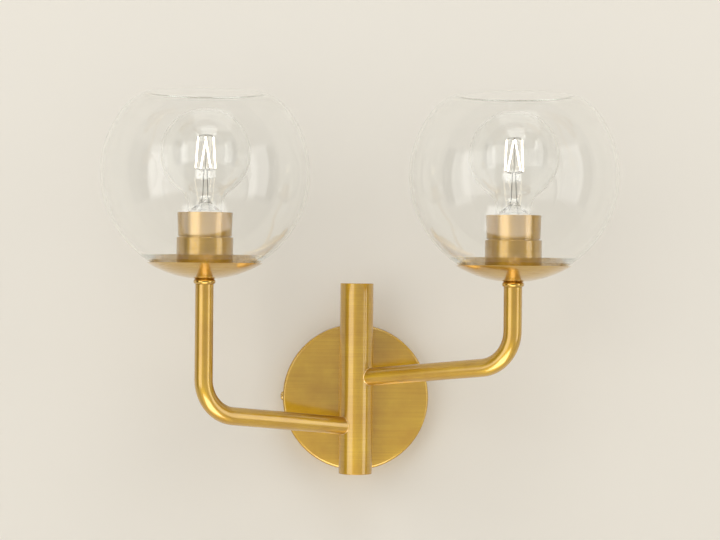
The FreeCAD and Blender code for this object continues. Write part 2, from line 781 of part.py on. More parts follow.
def make_holder(side, x):
    """Upper gasket, cup, locknut, porcelain core, screw shell, spring contact and screw-on sleeve."""
    y = holder_y
    turned(side + "_upper_gasket", tube_corners(nipple_hole_r, upper_gasket_od / 2, base_over, cup_floor), x, y)
    cup_r = cup_od / 2
    turned(side + "_holder_cup", [
        (nipple_hole_r, cup_floor),
        (cup_r - cup_wall, cup_floor, cup_wall),
        (cup_r, cup_floor + cup_wall),
        (cup_r, cup_top),
        (spigot_r, cup_top),
        (spigot_r, spigot_top),
        (spigot_r - spigot_wall, spigot_top),
        (spigot_r - spigot_wall, cup_top - cup_wall * 2),
        (cup_r - cup_wall, cup_top - cup_wall * 2),
        (cup_r - cup_wall, cup_floor + cup_wall),
        (nipple_hole_r, cup_floor + cup_wall),
    ], x, y)
    hex_nut(side + "_holder_nut", nut_across, nut_height, nipple_r + fit_gap, x, y, cup_floor + cup_wall)

    core_r = spigot_r - spigot_wall - hole_gap
    cavity_r = shell_r + shell_wall + fit_gap
    cavity_floor = bulb_tip - contact_rise
    flange_low = spigot_top + fit_gap
    core_low = cup_floor + cup_wall + hole_gap
    turned(side + "_holder_core", [
        (core_recess, core_low),
        (core_r, core_low),
        (core_r, flange_low),
        (core_flange / 2, flange_low),
        (core_flange / 2, core_top),
        (cavity_r, core_top),
        (cavity_r, cavity_floor),
        (0, cavity_floor),
        (0, core_recess_top),
        (core_recess, core_recess_top),
    ], x, y)
    shell_low = cavity_floor + fit_gap
    shell_top = core_top - thread_spare
    turned(side + "_screw_shell", [
        (contact_length, shell_low),
        (shell_r + shell_wall, shell_low),
        (shell_r + shell_wall, shell_top),
        (shell_r, shell_top),
        (shell_r, shell_low + shell_wall),
        (contact_length, shell_low + shell_wall),
    ], x, y)

    contact = new_body(side + "_centre_contact", x, y)
    sketch = new_sketch(contact, "leaf_side")
    leaf_top = bulb_tip - fit_gap
    half = contact_length * LEAF_REACH_SHARE
    foot = half * LEAF_FOOT_SHARE
    bend = half * LEAF_BEND_SHARE
    outline(sketch, [
        (-half, cavity_floor),
        (-foot, cavity_floor),
        (bend, leaf_top - shell_wall),
        (half, leaf_top - shell_wall),
        (half, leaf_top),
        (bend - shell_wall, leaf_top),
        (-foot - shell_wall, cavity_floor + shell_wall),
        (-half, cavity_floor + shell_wall),
    ])
    add_feature(contact, "Pad", "leaf", sketch, Length=contact_length / 2, Midplane=True)

    inner = spigot_r + thread_gap
    outer = inner + sleeve_wall
    top_r = sleeve_top_od / 2
    turned(side + "_holder_sleeve", [
        (inner, sleeve_low),
        (outer, sleeve_low),
        (top_r, sleeve_top),
        (sleeve_mouth / 2, sleeve_top),
        (sleeve_mouth / 2, sleeve_top - sleeve_wall),
        (top_r - sleeve_wall, sleeve_top - sleeve_wall),
        (inner, spigot_top),
    ], x, y)


# ---------------------------------------------------------------- bulb

def make_bulb(side, x):
    """Globe bulb: glass envelope, screw cap, insulator, tip contact, glass stem, filaments and frame."""
    y = holder_y
    cap_r = bulb_cap_od / 2
    cap_wall = shell_wall
    collar = bulb_tip + insulator_height + contact_height
    turned(side + "_bulb_contact", [
        (0, bulb_tip),
        (contact_length / 2, bulb_tip),
        (contact_length / 2 + contact_height / 2, bulb_tip + contact_height),
        (0, bulb_tip + contact_height),
    ], x, y)
    turned(side + "_bulb_insulator", [
        (0, bulb_tip + contact_height),
        (contact_length * INSULATOR_SHARE, bulb_tip + contact_height),
        (cap_r - cap_taper, collar),
        (0, collar),
    ], x, y)
    turned(side + "_bulb_cap", [
        (0, collar),
        (cap_r - cap_taper, collar),
        (cap_r, collar + cap_taper_height),
        (cap_r, cap_top),
        (cap_r - cap_wall, cap_top),
        (cap_r - cap_wall, collar + cap_taper_height + cap_wall),
        (0, collar + cap_taper_height + cap_wall),
    ], x, y)

    big = bulb_od / 2
    centre = bulb_tip + bulb_centre
    neck = bulb_neck_od / 2
    reach = big + bulb_neck_round
    offset = neck + bulb_neck_round
    fall = root(reach * reach - offset * offset)
    neck_top = centre - fall
    insert = cap_r - cap_wall - fit_gap
    outer_share = big / reach
    inner_share = (big - bulb_wall) / reach
    turned(side + "_bulb_glass", [
        (insert, cap_top - bulb_insert),
        (insert, cap_top),
        (neck, cap_top + bulb_shoulder),
        (neck, neck_top, (bulb_neck_round, -1)),
        (offset * outer_share, centre - fall * outer_share, big),
        (0, centre + big),
        (0, centre + big - bulb_wall, (big - bulb_wall, -1)),
        (offset * inner_share, centre - fall * inner_share, bulb_neck_round + bulb_wall),
        (neck - bulb_wall, neck_top),
        (neck - bulb_wall, cap_top + bulb_shoulder),
        (insert - bulb_wall, cap_top),
        (insert - bulb_wall, cap_top - bulb_insert),
    ], x, y)

    flare = cap_top + bulb_shoulder
    flare_r = neck - bulb_wall - hole_gap
    bulge = bulb_tip + bulge_lift
    tube_r = stem_od / 2
    waist_r = stem_waist_od / 2
    stem_top = bulge + stem_bulge + stem_tip
    turned(side + "_bulb_stem", [
        (flare_r - bulb_wall, flare),
        (flare_r, flare),
        (waist_r, flare + stem_flare / 2),
        (tube_r, flare + stem_flare),
        (tube_r, bulge - stem_bulge, stem_bulge * BULGE_ROUND_SHARE),
        (tube_r, bulge + stem_bulge),
        (tube_r / 2, stem_top),
        (0, stem_top),
        (0, flare + stem_flare),
        (waist_r - stem_wall, flare + stem_flare / 2),
    ], x, y)

    place = Vector(float(x), float(y), 0)
    low = bulb_tip + filament_lift
    sticks = []
    wires = []
    wire_r = float(frame_wire) / 2
    bulge_round = stem_bulge * BULGE_ROUND_SHARE
    bulge_r = tube_r + bulge_round - root(bulge_round * bulge_round - stem_bulge * stem_bulge)
    hub = Vector(0, 0, float(stem_top))
    crown = Vector(0, 0, float(low + filament_length + crown_rise))
    for index in range(FILAMENTS):
        angle = math.radians(360 * (index + 0.5) / FILAMENTS)
        out = Vector(math.cos(angle), math.sin(angle), 0)
        foot = out * float(filament_low_spread) + Vector(0, 0, float(low))
        head = out * float(filament_top_spread) + Vector(0, 0, float(low + filament_length))
        sticks.append(rod(foot, head, float(filament_od) / 2))
        along = (head - foot).normalize()
        shoulder = out * float(bulge_r + hole_gap) + Vector(0, 0, float(bulge))
        wires.append(rod(shoulder, foot, wire_r))
        wires.append(rod(head, head + along * float(crown_rise), wire_r))
        wires.append(rod(head + along * float(crown_rise), crown, wire_r))
    wires.append(rod(hub, crown, wire_r))
    frame = wires[0].multiFuse(wires[1:])
    for stick in sticks:
        frame = frame.cut(stick)
    feature_part(side + "_bulb_filaments", Part.makeCompound(sticks), FreeCAD.Placement(place, Rotation()))
    feature_part(side + "_bulb_frame", frame, FreeCAD.Placement(place, Rotation()))


def rod(start, end, radius):
    """A round rod from one point to another."""
    return Part.makeCylinder(radius, (end - start).Length, start, end - start)


# ---------------------------------------------------------------- whole

def make_canopy_screws():
    """The side screw through the canopy wall and the ground screw on the bracket."""
    round_head_screw("canopy_side_screw", side_screw_od / 2, side_screw_length, side_head_od, side_head_height,
                     (-(canopy_od / 2 + fit_gap * 2), -side_screw_out, 0), TO_THE_LEFT)
    round_head_screw("ground_screw", side_screw_od / 2, bracket_thick * 2, side_head_od, side_head_height,
                     (ground_screw_x, -bracket_thick, 0), OUT_OF_WALL)


def check_and_write():
    """Stops on any failed object or bad shape, and writes each piece to its own file."""
    DOC.recompute()
    for thing in DOC.Objects:
        if "Invalid" in thing.State or "Error" in thing.State:
            raise ValueError("%s (%s) is %s" % (thing.Name, thing.Label, thing.State))
    for piece in PARTS:
        if piece.Shape.isNull() or not piece.Shape.isValid() or not piece.Shape.Solids:
            raise ValueError("%s has no valid shape" % piece.Label)
    os.makedirs("parts", exist_ok=True)
    for piece in PARTS:
        piece.Shape.exportStep(os.path.join("parts", piece.Label + ".step"))
    print("%d pieces written" % len(PARTS))


def main():
    """Builds the wall side, the column and then each arm with what it holds."""
    make_wall_bracket()
    make_canopy()
    make_canopy_catch()
    make_canopy_screws()
    make_stem()
    make_column()
    for side, sign in SIDES:
        x = arm_run_x * sign
        make_arm(side, sign)
        make_leads(side, sign)
        make_seat(side, x)
        make_globe(side, x)
        make_holder(side, x)
        make_bulb(side, x)
    check_and_write()


DOC.recompute()
main()
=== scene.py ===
"""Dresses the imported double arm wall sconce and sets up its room, light and camera."""
import json
import logging
import math
from collections.abc import Iterable, Sequence
from dataclasses import dataclass, field
from enum import Enum

import bmesh
import bpy
from mathutils import Matrix, Vector

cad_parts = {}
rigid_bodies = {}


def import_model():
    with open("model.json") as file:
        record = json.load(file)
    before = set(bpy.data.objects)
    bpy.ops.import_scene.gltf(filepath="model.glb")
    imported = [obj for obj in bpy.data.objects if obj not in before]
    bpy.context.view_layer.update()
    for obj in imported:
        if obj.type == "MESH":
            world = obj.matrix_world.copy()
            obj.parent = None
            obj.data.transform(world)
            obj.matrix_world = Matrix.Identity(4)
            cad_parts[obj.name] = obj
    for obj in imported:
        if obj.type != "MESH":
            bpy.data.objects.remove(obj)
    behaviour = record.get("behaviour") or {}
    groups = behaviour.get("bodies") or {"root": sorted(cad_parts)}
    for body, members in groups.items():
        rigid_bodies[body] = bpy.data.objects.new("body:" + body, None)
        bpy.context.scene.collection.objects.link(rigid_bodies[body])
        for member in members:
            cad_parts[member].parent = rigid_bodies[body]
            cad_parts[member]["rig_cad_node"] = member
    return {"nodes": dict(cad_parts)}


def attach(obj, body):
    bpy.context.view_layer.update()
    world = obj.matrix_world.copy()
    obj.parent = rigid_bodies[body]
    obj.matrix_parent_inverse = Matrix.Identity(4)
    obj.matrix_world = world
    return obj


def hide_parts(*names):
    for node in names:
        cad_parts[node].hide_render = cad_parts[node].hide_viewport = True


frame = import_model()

LOG = logging.getLogger("sconce")
MM = 0.001
GRAIN = "grain"
ON_AXIS = 1e-6
NEARLY_HALF = 0.49
SMOOTH_ANGLE = math.radians(32)

THREAD_PITCH = 3.63
THREAD_DEPTH = 0.8
THREAD_INNER = 12.0
THREAD_ROWS = 40
ROLLED_SHEET = 0.4

Point = tuple[float, float]
Colour = tuple[float, float, float]
Piece = bpy.types.Object
Socket = bpy.types.NodeSocket


# ---------------------------------------------------------------- outlines

def arc(centre: Point, radius: float, start: float, end: float, steps: int) -> list[Point]:
    """Points along an arc.

    Args:
        centre: Middle of the arc, in mm.
        radius: Radius in mm.
        start: First angle in degrees, from the first axis towards the second.
        end: Last angle in degrees.
        steps: Number of stretches between the two.

    Returns:
        The points, both ends among them.
    """
    turns = [math.radians(start + (end - start) * i / steps) for i in range(steps + 1)]
    return [(centre[0] + radius * math.cos(a), centre[1] + radius * math.sin(a)) for a in turns]


def softened(corners: Sequence[tuple[float, ...]], closed: bool = True, steps: int = 5) -> list[Point]:
    """An outline whose corners are rounded where they carry a third number.

    Args:
        corners: (radius, height) or (radius, height, rounding) of each corner, in mm.
        closed: Whether the last corner joins the first.
        steps: Stretches in each small arc.

    Returns:
        The points of the rounded outline.
    """
    points: list[Point] = []
    count = len(corners)
    for i, corner in enumerate(corners):
        here = Vector(corner[:2])
        inner = closed or 0 < i < count - 1
        if len(corner) < 3 or not inner:
            points.append((here.x, here.y))
            continue
        before = Vector(corners[i - 1][:2]) - here
        after = Vector(corners[(i + 1) % count][:2]) - here
        half = before.angle(after) / 2
        reach = min(corner[2] / math.tan(half), before.length * NEARLY_HALF, after.length * NEARLY_HALF)
        first = here + before.normalized() * reach
        last = here + after.normalized() * reach
        for k in range(steps + 1):
            t = k / steps
            bent = first * (1 - t) ** 2 + here * 2 * t * (1 - t) + last * t ** 2
            points.append((bent.x, bent.y))
    return points


# ---------------------------------------------------------------- meshes

def linked(name: str, data: bpy.types.ID) -> Piece:
    """A new object of the scene that shows these data."""
    piece = bpy.data.objects.new(name, data)
    bpy.context.scene.collection.objects.link(piece)
    return piece


def smoothed(mesh: bpy.types.Mesh) -> bpy.types.Mesh:
    """The same mesh, smooth-shaded up to its sharp edges."""
    mesh.shade_smooth()
    mesh.set_sharp_from_angle(angle=SMOOTH_ANGLE)
    return mesh


def finished_mesh(name: str, points: list[Vector], grain: list[Vector], faces: list[tuple[int, ...]]) -> Piece:
    """A closed, smooth-shaded mesh that carries its grain coordinates.

    Args:
        name: Name of the piece.
        points: Vertices in mm, in the frame of the fixture.
        grain: One vector for each vertex, in mm: round the piece and along it.
        faces: Vertex numbers of each face.

    Returns:
        The new object, linked to the scene.
    """
    mesh = bpy.data.meshes.new(name)
    mesh.from_pydata([p * MM for p in points], [], faces)
    layer = mesh.attributes.new(GRAIN, "FLOAT_VECTOR", "POINT")
    layer.data.foreach_set("vector", [value for g in grain for value in g])
    form = bmesh.new()
    form.from_mesh(mesh)
    bmesh.ops.remove_doubles(form, verts=form.verts, dist=1e-7)
    bmesh.ops.recalc_face_normals(form, faces=form.faces)
    form.to_mesh(mesh)
    form.free()
    return linked(name, smoothed(mesh))


@dataclass(frozen=True)
class Axis:
    """The line that a turned piece is turned about.

    Attributes:
        foot: A point of the line, in mm.
        along: Direction of height.
        across: Direction that angle 0 points to.
    """

    foot: Vector = field(default_factory=lambda: Vector((0, 0, 0)))
    along: Vector = field(default_factory=lambda: Vector((0, 0, 1)))
    across: Vector = field(default_factory=lambda: Vector((1, 0, 0)))

    def at(self, radius: float, height: float, angle: float) -> Vector:
        """The point at a radius, height and angle about the line."""
        side = self.along.cross(self.across)
        turned = self.across * math.cos(angle) + side * math.sin(angle)
        return self.foot + self.along * height + turned * radius


def skin(rings: Sequence[Sequence[int]], sides: int) -> list[tuple[int, ...]]:
    """Faces between each ring of points and the next.

    Args:
        rings: Vertex numbers of each ring, a single one where the ring is a point.
        sides: Steps round a ring.

    Returns:
        The faces, with three corners beside a point and four elsewhere.
    """
    faces = []
    for low, high in zip(rings, rings[1:]):
        for k in range(sides):
            corners = (low[k % len(low)], low[(k + 1) % len(low)], high[(k + 1) % len(high)], high[k % len(high)])
            face = tuple(dict.fromkeys(corners))
            if len(face) > 2:
                faces.append(face)
    return faces


def lathe(name: str, outline: Sequence[Point], axis: Axis, sides: int, wave: "Thread | None" = None) -> Piece:
    """Turns an outline about an axis.

    Args:
        name: Name of the piece.
        outline: (radius, height) points in mm. It closes on itself unless both ends lie on the axis.
        axis: The axis it turns about.
        sides: Steps round the axis.
        wave: A screw thread that moves the points in or out, or None.

    Returns:
        The turned piece.
    """
    open_ends = outline[0][0] < ON_AXIS and outline[-1][0] < ON_AXIS
    points: list[Vector] = []
    grain: list[Vector] = []
    rings: list[list[int]] = []
    run = 0.0
    for i, (radius, height) in enumerate(outline):
        if i:
            run += math.dist(outline[i - 1], outline[i])
        steps = 1 if radius < ON_AXIS else sides
        rings.append(list(range(len(points), len(points) + steps)))
        for k in range(steps):
            angle = math.tau * k / sides
            moved = radius + (wave.depth_at(radius, height, angle) if wave else 0.0)
            points.append(axis.at(moved, height, angle))
            grain.append(Vector((radius * math.cos(angle), radius * math.sin(angle), run)))
    if not open_ends:
        rings.append(rings[0])
    return finished_mesh(name, points, grain, skin(rings, sides))


@dataclass(frozen=True)
class Thread:
    """A rounded screw thread pressed into a thin wall.

    Attributes:
        low: Height where it starts, in mm.
        high: Height where it ends.
        pitch: Rise of one turn.
        depth: How far the valleys lie inside the crests.
        inner: Smallest radius that belongs to the threaded wall.
    """

    low: float
    high: float
    pitch: float = THREAD_PITCH
    depth: float = THREAD_DEPTH
    inner: float = THREAD_INNER

    def depth_at(self, radius: float, height: float, angle: float) -> float:
        """How far the wall moves in (a negative number) at this place."""
        if radius < self.inner or not self.low <= height <= self.high:
            return 0.0
        run_in = min(1.0, (height - self.low) / self.pitch, (self.high - height) / self.pitch)
        wave = 0.5 - 0.5 * math.cos(math.tau * height / self.pitch - angle)
        return -self.depth * wave * run_in


def tube(name: str, path: Sequence[Vector], radii: Sequence[float], bore: float = 0.0, sides: int = 48) -> Piece:
    """A round rod or tube along a path.

    Args:
        name: Name of the piece.
        path: Points of the centre line, in mm.
        radii: Outer radius at each point.
        bore: Inner radius, or 0 for a solid rod with flat ends.
        sides: Steps round the rod.

    Returns:
        The rod or tube.
    """
    frames = path_frames(path)
    points: list[Vector] = []
    grain: list[Vector] = []
    run = 0.0

    def ring(i: int, radius: float) -> list[int]:
        """Adds one ring of points and returns their numbers."""
        start = len(points)
        across, upward = frames[i]
        for k in range(sides):
            angle = math.tau * k / sides
            points.append(path[i] + (across * math.cos(angle) + upward * math.sin(angle)) * radius)
            grain.append(Vector((radius * math.cos(angle), radius * math.sin(angle), run)))
        return list(range(start, start + sides))

    rings = []
    for i, radius in enumerate(radii):
        if i:
            run += (path[i] - path[i - 1]).length
        rings.append(ring(i, radius))
    faces = []
    if bore:
        for i in range(len(path) - 1, -1, -1):
            rings.append(ring(i, bore))
            if i:
                run -= (path[i] - path[i - 1]).length
        rings.append(rings[0])
    else:
        faces = [tuple(reversed(rings[0])), tuple(rings[-1])]
    return finished_mesh(name, points, grain, faces + skin(rings, sides))


def path_frames(path: Sequence[Vector]) -> list[tuple[Vector, Vector]]:
    """Two directions square to a path at each of its points.

    Args:
        path: Points of the path.

    Returns:
        One pair for each point, carried along without twist.
    """
    frames = []
    across = None
    for i in range(len(path)):
        ahead = (path[min(i + 1, len(path) - 1)] - path[max(i - 1, 0)]).normalized()
        if across is None:
            across = ahead.orthogonal().normalized()
        across = (across - ahead * across.dot(ahead)).normalized()
        frames.append((across, ahead.cross(across)))
    return frames


def joined(name: str, parts: Iterable[Piece]) -> Piece:
    """One object out of several that are made of the same thing.

    Args:
        name: Name of the piece.
        parts: The objects, which are used up.

    Returns:
        The joined piece.
    """
    parts = list(parts)
    form = bmesh.new()
    for part in parts:
        form.from_mesh(part.data)
    mesh = bpy.data.meshes.new(name)
    form.to_mesh(mesh)
    form.free()
    for part in parts:
        bpy.data.objects.remove(part)
    return linked(name, smoothed(mesh))


# ---------------------------------------------------------------- finishes

LACQUER_ROUGHNESS = 0.1
LACQUER_BENDING = 1.85
TRAPPED_AFTER = 8.5  # bounces, after which glass lets a ray straight through
GRAIN_BANDS = 0.3  # scale of the broad bands against the fine lines


class Lay(Enum):
    """Which way the brush lines of a metal surface run."""

    AROUND = (0.05, 0.05, 2.6)
    ALONG = (2.2, 2.2, 0.03)
    LEVEL = (0.02, 1.6, 1.6)
    UPRIGHT = (1.6, 1.6, 0.03)
    RINGS = (0.08, 0.08, 2.0)


class Sheet:
    """The node tree of one material, or of the world."""

    def __init__(self, name: str, world: bool = False) -> None:
        """Starts an empty tree with its output."""
        self.owner = (bpy.data.worlds if world else bpy.data.materials).new(name)
        self.owner.use_nodes = True
        self.tree = self.owner.node_tree
        self.tree.nodes.clear()
        self.output = self.add("ShaderNodeOutputWorld" if world else "ShaderNodeOutputMaterial")

    def add(self, kind: str, inputs: dict | None = None, **settings: object) -> bpy.types.Node:
        """Adds a node.

        Args:
            kind: Blender's name of the node type.
            inputs: Values or sockets for its inputs, by name or number.
            **settings: Attributes of the node.

        Returns:
            The node.
        """
        node = self.tree.nodes.new(kind)
        for key, value in settings.items():
            setattr(node, key, value)
        for key, value in (inputs or {}).items():
            if isinstance(value, Socket):
                self.tree.links.new(value, node.inputs[key])
            else:
                node.inputs[key].default_value = value
        return node

    def maths(self, operation: str, first: object, second: object = 0.0) -> Socket:
        """What a sum of two numbers or sockets gives."""
        return self.add("ShaderNodeMath", {0: first, 1: second}, operation=operation).outputs[0]

    def noise(self, place: Socket, scale: float, detail: float = 3.0, rough: float = 0.55) -> Socket:
        """A noise value at a place.

        Args:
            place: The coordinates.
            scale: Cells for each metre.
            detail: Number of finer layers.
            rough: Weight of the finer layers.

        Returns:
            The socket with a value from 0 to 1.
        """
        return self.add("ShaderNodeTexNoise", {"Vector": place, "Scale": scale, "Detail": detail,
                                               "Roughness": rough}).outputs["Fac"]

    def span(self, value: Socket, low: float, high: float, start: float = 0.3, end: float = 0.7) -> Socket:
        """Maps a value's range onto another.

        Args:
            value: The value.
            low: Result at start.
            high: Result at end.
            start: Lower end of the value's range.
            end: Upper end of it.

        Returns:
            The mapped value.
        """
        return self.add("ShaderNodeMapRange", {"Value": value, "From Min": start, "From Max": end,
                                               "To Min": low, "To Max": high}).outputs["Result"]

    def blend(self, share: Socket, first: Colour, second: Colour) -> Socket:
        """Goes from one colour to another as a value goes from 0 to 1."""
        node = self.add("ShaderNodeValToRGB", {"Fac": share})
        node.color_ramp.elements[0].color = (*first, 1)
        node.color_ramp.elements[1].color = (*second, 1)
        return node.outputs["Color"]

    def bump(self, height: Socket, depth: float) -> Socket:
        """A surface normal for a height from 0 to 1, where 1 stands for a depth in mm."""
        return self.add("ShaderNodeBump", {"Height": height, "Distance": depth * MM,
                                           "Strength": 1.0}).outputs["Normal"]

    def finish(self, shader: Socket, volume: Socket | None = None) -> bpy.types.ID:
        """Joins a shader to the output and returns the material or the world."""
        self.tree.links.new(shader, self.output.inputs["Surface"])
        if volume:
            self.tree.links.new(volume, self.output.inputs["Volume"])
        return self.owner


def linear(red: int, green: int, blue: int) -> Colour:
    """A colour written as in a picture file, as linear light."""
    def one(level: int) -> float:
        """One channel as linear light."""
        share = level / 255
        return share / 12.92 if share <= 0.04045 else ((share + 0.055) / 1.055) ** 2.4
    return one(red), one(green), one(blue)


@dataclass(frozen=True)
class Metal:
    """A metal with brush lines, slight stains and a soft sheen.

    Attributes:
        name: Name of the material.
        light: Its clean colour.
        dark: Its colour in the lines and stains.
        rough: Roughness in the smooth places and in the lines.
        lay: Which way the lines run.
        depth: Depth of the lines in mm, or 0 where they only show as tone.
        stretch: How far highlights are drawn out across the lines.
        on_mesh: Whether the piece carries grain coordinates.
        coat: Weight of the clear lacquer.
    """

    name: str
    light: Colour
    dark: Colour
    rough: tuple[float, float]
    lay: Lay
    depth: float = 0.004
    stretch: float = 0.0
    on_mesh: bool = True
    coat: float = 1.0

    def make(self) -> bpy.types.Material:
        """Builds the material."""
        sheet = Sheet(self.name)
        spot = sheet.add("ShaderNodeTexCoord").outputs["Object"]
        start = sheet.add("ShaderNodeAttribute", attribute_name=GRAIN).outputs["Vector"] if self.on_mesh else spot
        unit = 1.0 if self.on_mesh else 1 / MM
        scale = [value * unit for value in self.lay.value]
        fine = sheet.add("ShaderNodeMapping", {"Vector": start, "Scale": scale})
        broad = sheet.add("ShaderNodeMapping", {"Vector": start, "Scale": [v * GRAIN_BANDS for v in scale]})
        lines = sheet.noise(fine.outputs["Vector"], 1.0, 2.0, 0.6)
        bands = sheet.noise(broad.outputs["Vector"], 1.0, 3.0, 0.6)
        stains = sheet.noise(spot, 38.0, 4.0, 0.6)
        half = sheet.maths("MULTIPLY", sheet.maths("ADD", lines, bands), 0.5)
        tone = sheet.maths("MULTIPLY", half, stains)
        colour = sheet.blend(sheet.span(tone, 0.0, 1.0, 0.1, 0.38), self.dark, self.light)
        rough = sheet.span(half, self.rough[1], self.rough[0])
        shader = sheet.add("ShaderNodeBsdfPrincipled", {
            "Base Color": colour, "Metallic": 1.0, "Roughness": rough, "Anisotropic": self.stretch,
            "Coat Weight": self.coat, "Coat Roughness": LACQUER_ROUGHNESS, "Coat IOR": LACQUER_BENDING})
        if self.depth:
            sheet.tree.links.new(sheet.bump(half, self.depth), shader.inputs["Normal"])
        if self.stretch:
            tangent = sheet.add("ShaderNodeTangent", direction_type="RADIAL", axis="Z")
            sheet.tree.links.new(tangent.outputs[0], shader.inputs["Tangent"])
        return sheet.finish(shader.outputs[0])


@dataclass(frozen=True)
class Glass:
    """Clear glass with a tint that shows along its edges.

    Attributes:
        name: Name of the material.
        tint: Colour left after a long way through it.
        density: How soon the tint shows, for each metre.
        ripple: Depth of the slow waves in its surface, in mm.
        shade: How much light the glass takes out of its shadow at its edges.
        bending: Its refractive index.
    """

    name: str
    tint: Colour
    density: float
    ripple: float
    shade: float
    bending: float = 1.5

    def make(self) -> bpy.types.Material:
        """Builds the material."""
        sheet = Sheet(self.name)
        spot = sheet.add("ShaderNodeTexCoord").outputs["Object"]
        waves = sheet.noise(spot, 22.0, 1.0, 0.4)
        haze = sheet.noise(spot, 140.0, 4.0, 0.6)
        glass = sheet.add("ShaderNodeBsdfPrincipled", {
            "Base Color": sheet.blend(haze, (0.985, 0.99, 0.985), (1.0, 1.0, 1.0)),
            "Roughness": sheet.span(haze, 0.0, 0.02), "IOR": self.bending, "Transmission Weight": 1.0,
            "Normal": sheet.bump(waves, self.ripple)})
        edge = sheet.add("ShaderNodeLayerWeight", {"Blend": 0.35}).outputs["Facing"]
        shadow = sheet.add("ShaderNodeBsdfTransparent", {
            "Color": sheet.blend(edge, (0.98, 0.98, 0.98), (1 - self.shade,) * 3)}).outputs[0]
        path = sheet.add("ShaderNodeLightPath")
        plain = sheet.maths("MAXIMUM", path.outputs["Is Shadow Ray"], path.outputs["Is Diffuse Ray"])
        trapped = sheet.maths("GREATER_THAN", path.outputs["Ray Depth"], TRAPPED_AFTER)
        through = sheet.maths("MAXIMUM", plain, trapped)
        mixed = sheet.add("ShaderNodeMixShader", {0: through, 1: glass.outputs[0], 2: shadow}).outputs[0]
        tint = sheet.add("ShaderNodeVolumeAbsorption", {"Color": (*self.tint, 1), "Density": self.density}).outputs[0]
        return sheet.finish(mixed, tint)


@dataclass(frozen=True)
class Moulded:
    """A dense material that isn't metal: porcelain, rubber, sleeving or coated strip.

    Attributes:
        name: Name of the material.
        light: Colour at one end of its slow, random cloud of tone.
        dark: Colour at the other end.
        rough: Roughness.
        grain: Cells of its texture for each mm.
        depth: Depth of the texture in mm.
        coat: Weight of a clear glaze.
        glow: Strength of its own light.
    """

    name: str
    light: Colour
    dark: Colour
    rough: float
    grain: float
    depth: float
    coat: float = 0.0
    glow: float = 0.0

    def make(self) -> bpy.types.Material:
        """Builds the material."""
        sheet = Sheet(self.name)
        spot = sheet.add("ShaderNodeTexCoord").outputs["Object"]
        fine = sheet.noise(spot, self.grain / MM, 3.0, 0.6)
        cloud = sheet.noise(spot, self.grain / MM / 14, 3.0, 0.5)
        colour = sheet.blend(sheet.span(cloud, 0.0, 1.0), self.dark, self.light)
        inputs = {"Base Color": colour, "Roughness": sheet.span(fine, self.rough * 0.85, self.rough * 1.15),
                  "Normal": sheet.bump(fine, self.depth), "Coat Weight": self.coat, "Coat Roughness": 0.08}
        if self.glow:
            inputs["Emission Color"] = colour
            inputs["Emission Strength"] = self.glow
        return sheet.finish(sheet.add("ShaderNodeBsdfPrincipled", inputs).outputs[0])


BRASS_LIGHT = linear(210, 170, 44)
BRASS_DARK = linear(188, 142, 30)
# Darker copy of the brass for the cups and sleeves: painted shade that stands in for their dimmer, darker-edged look
# inside the globes.
BRASS_SHADED = linear(186, 146, 42)
BRASS_SHADED_DARK = linear(164, 124, 32)
BRASS_CUT = linear(214, 178, 110)


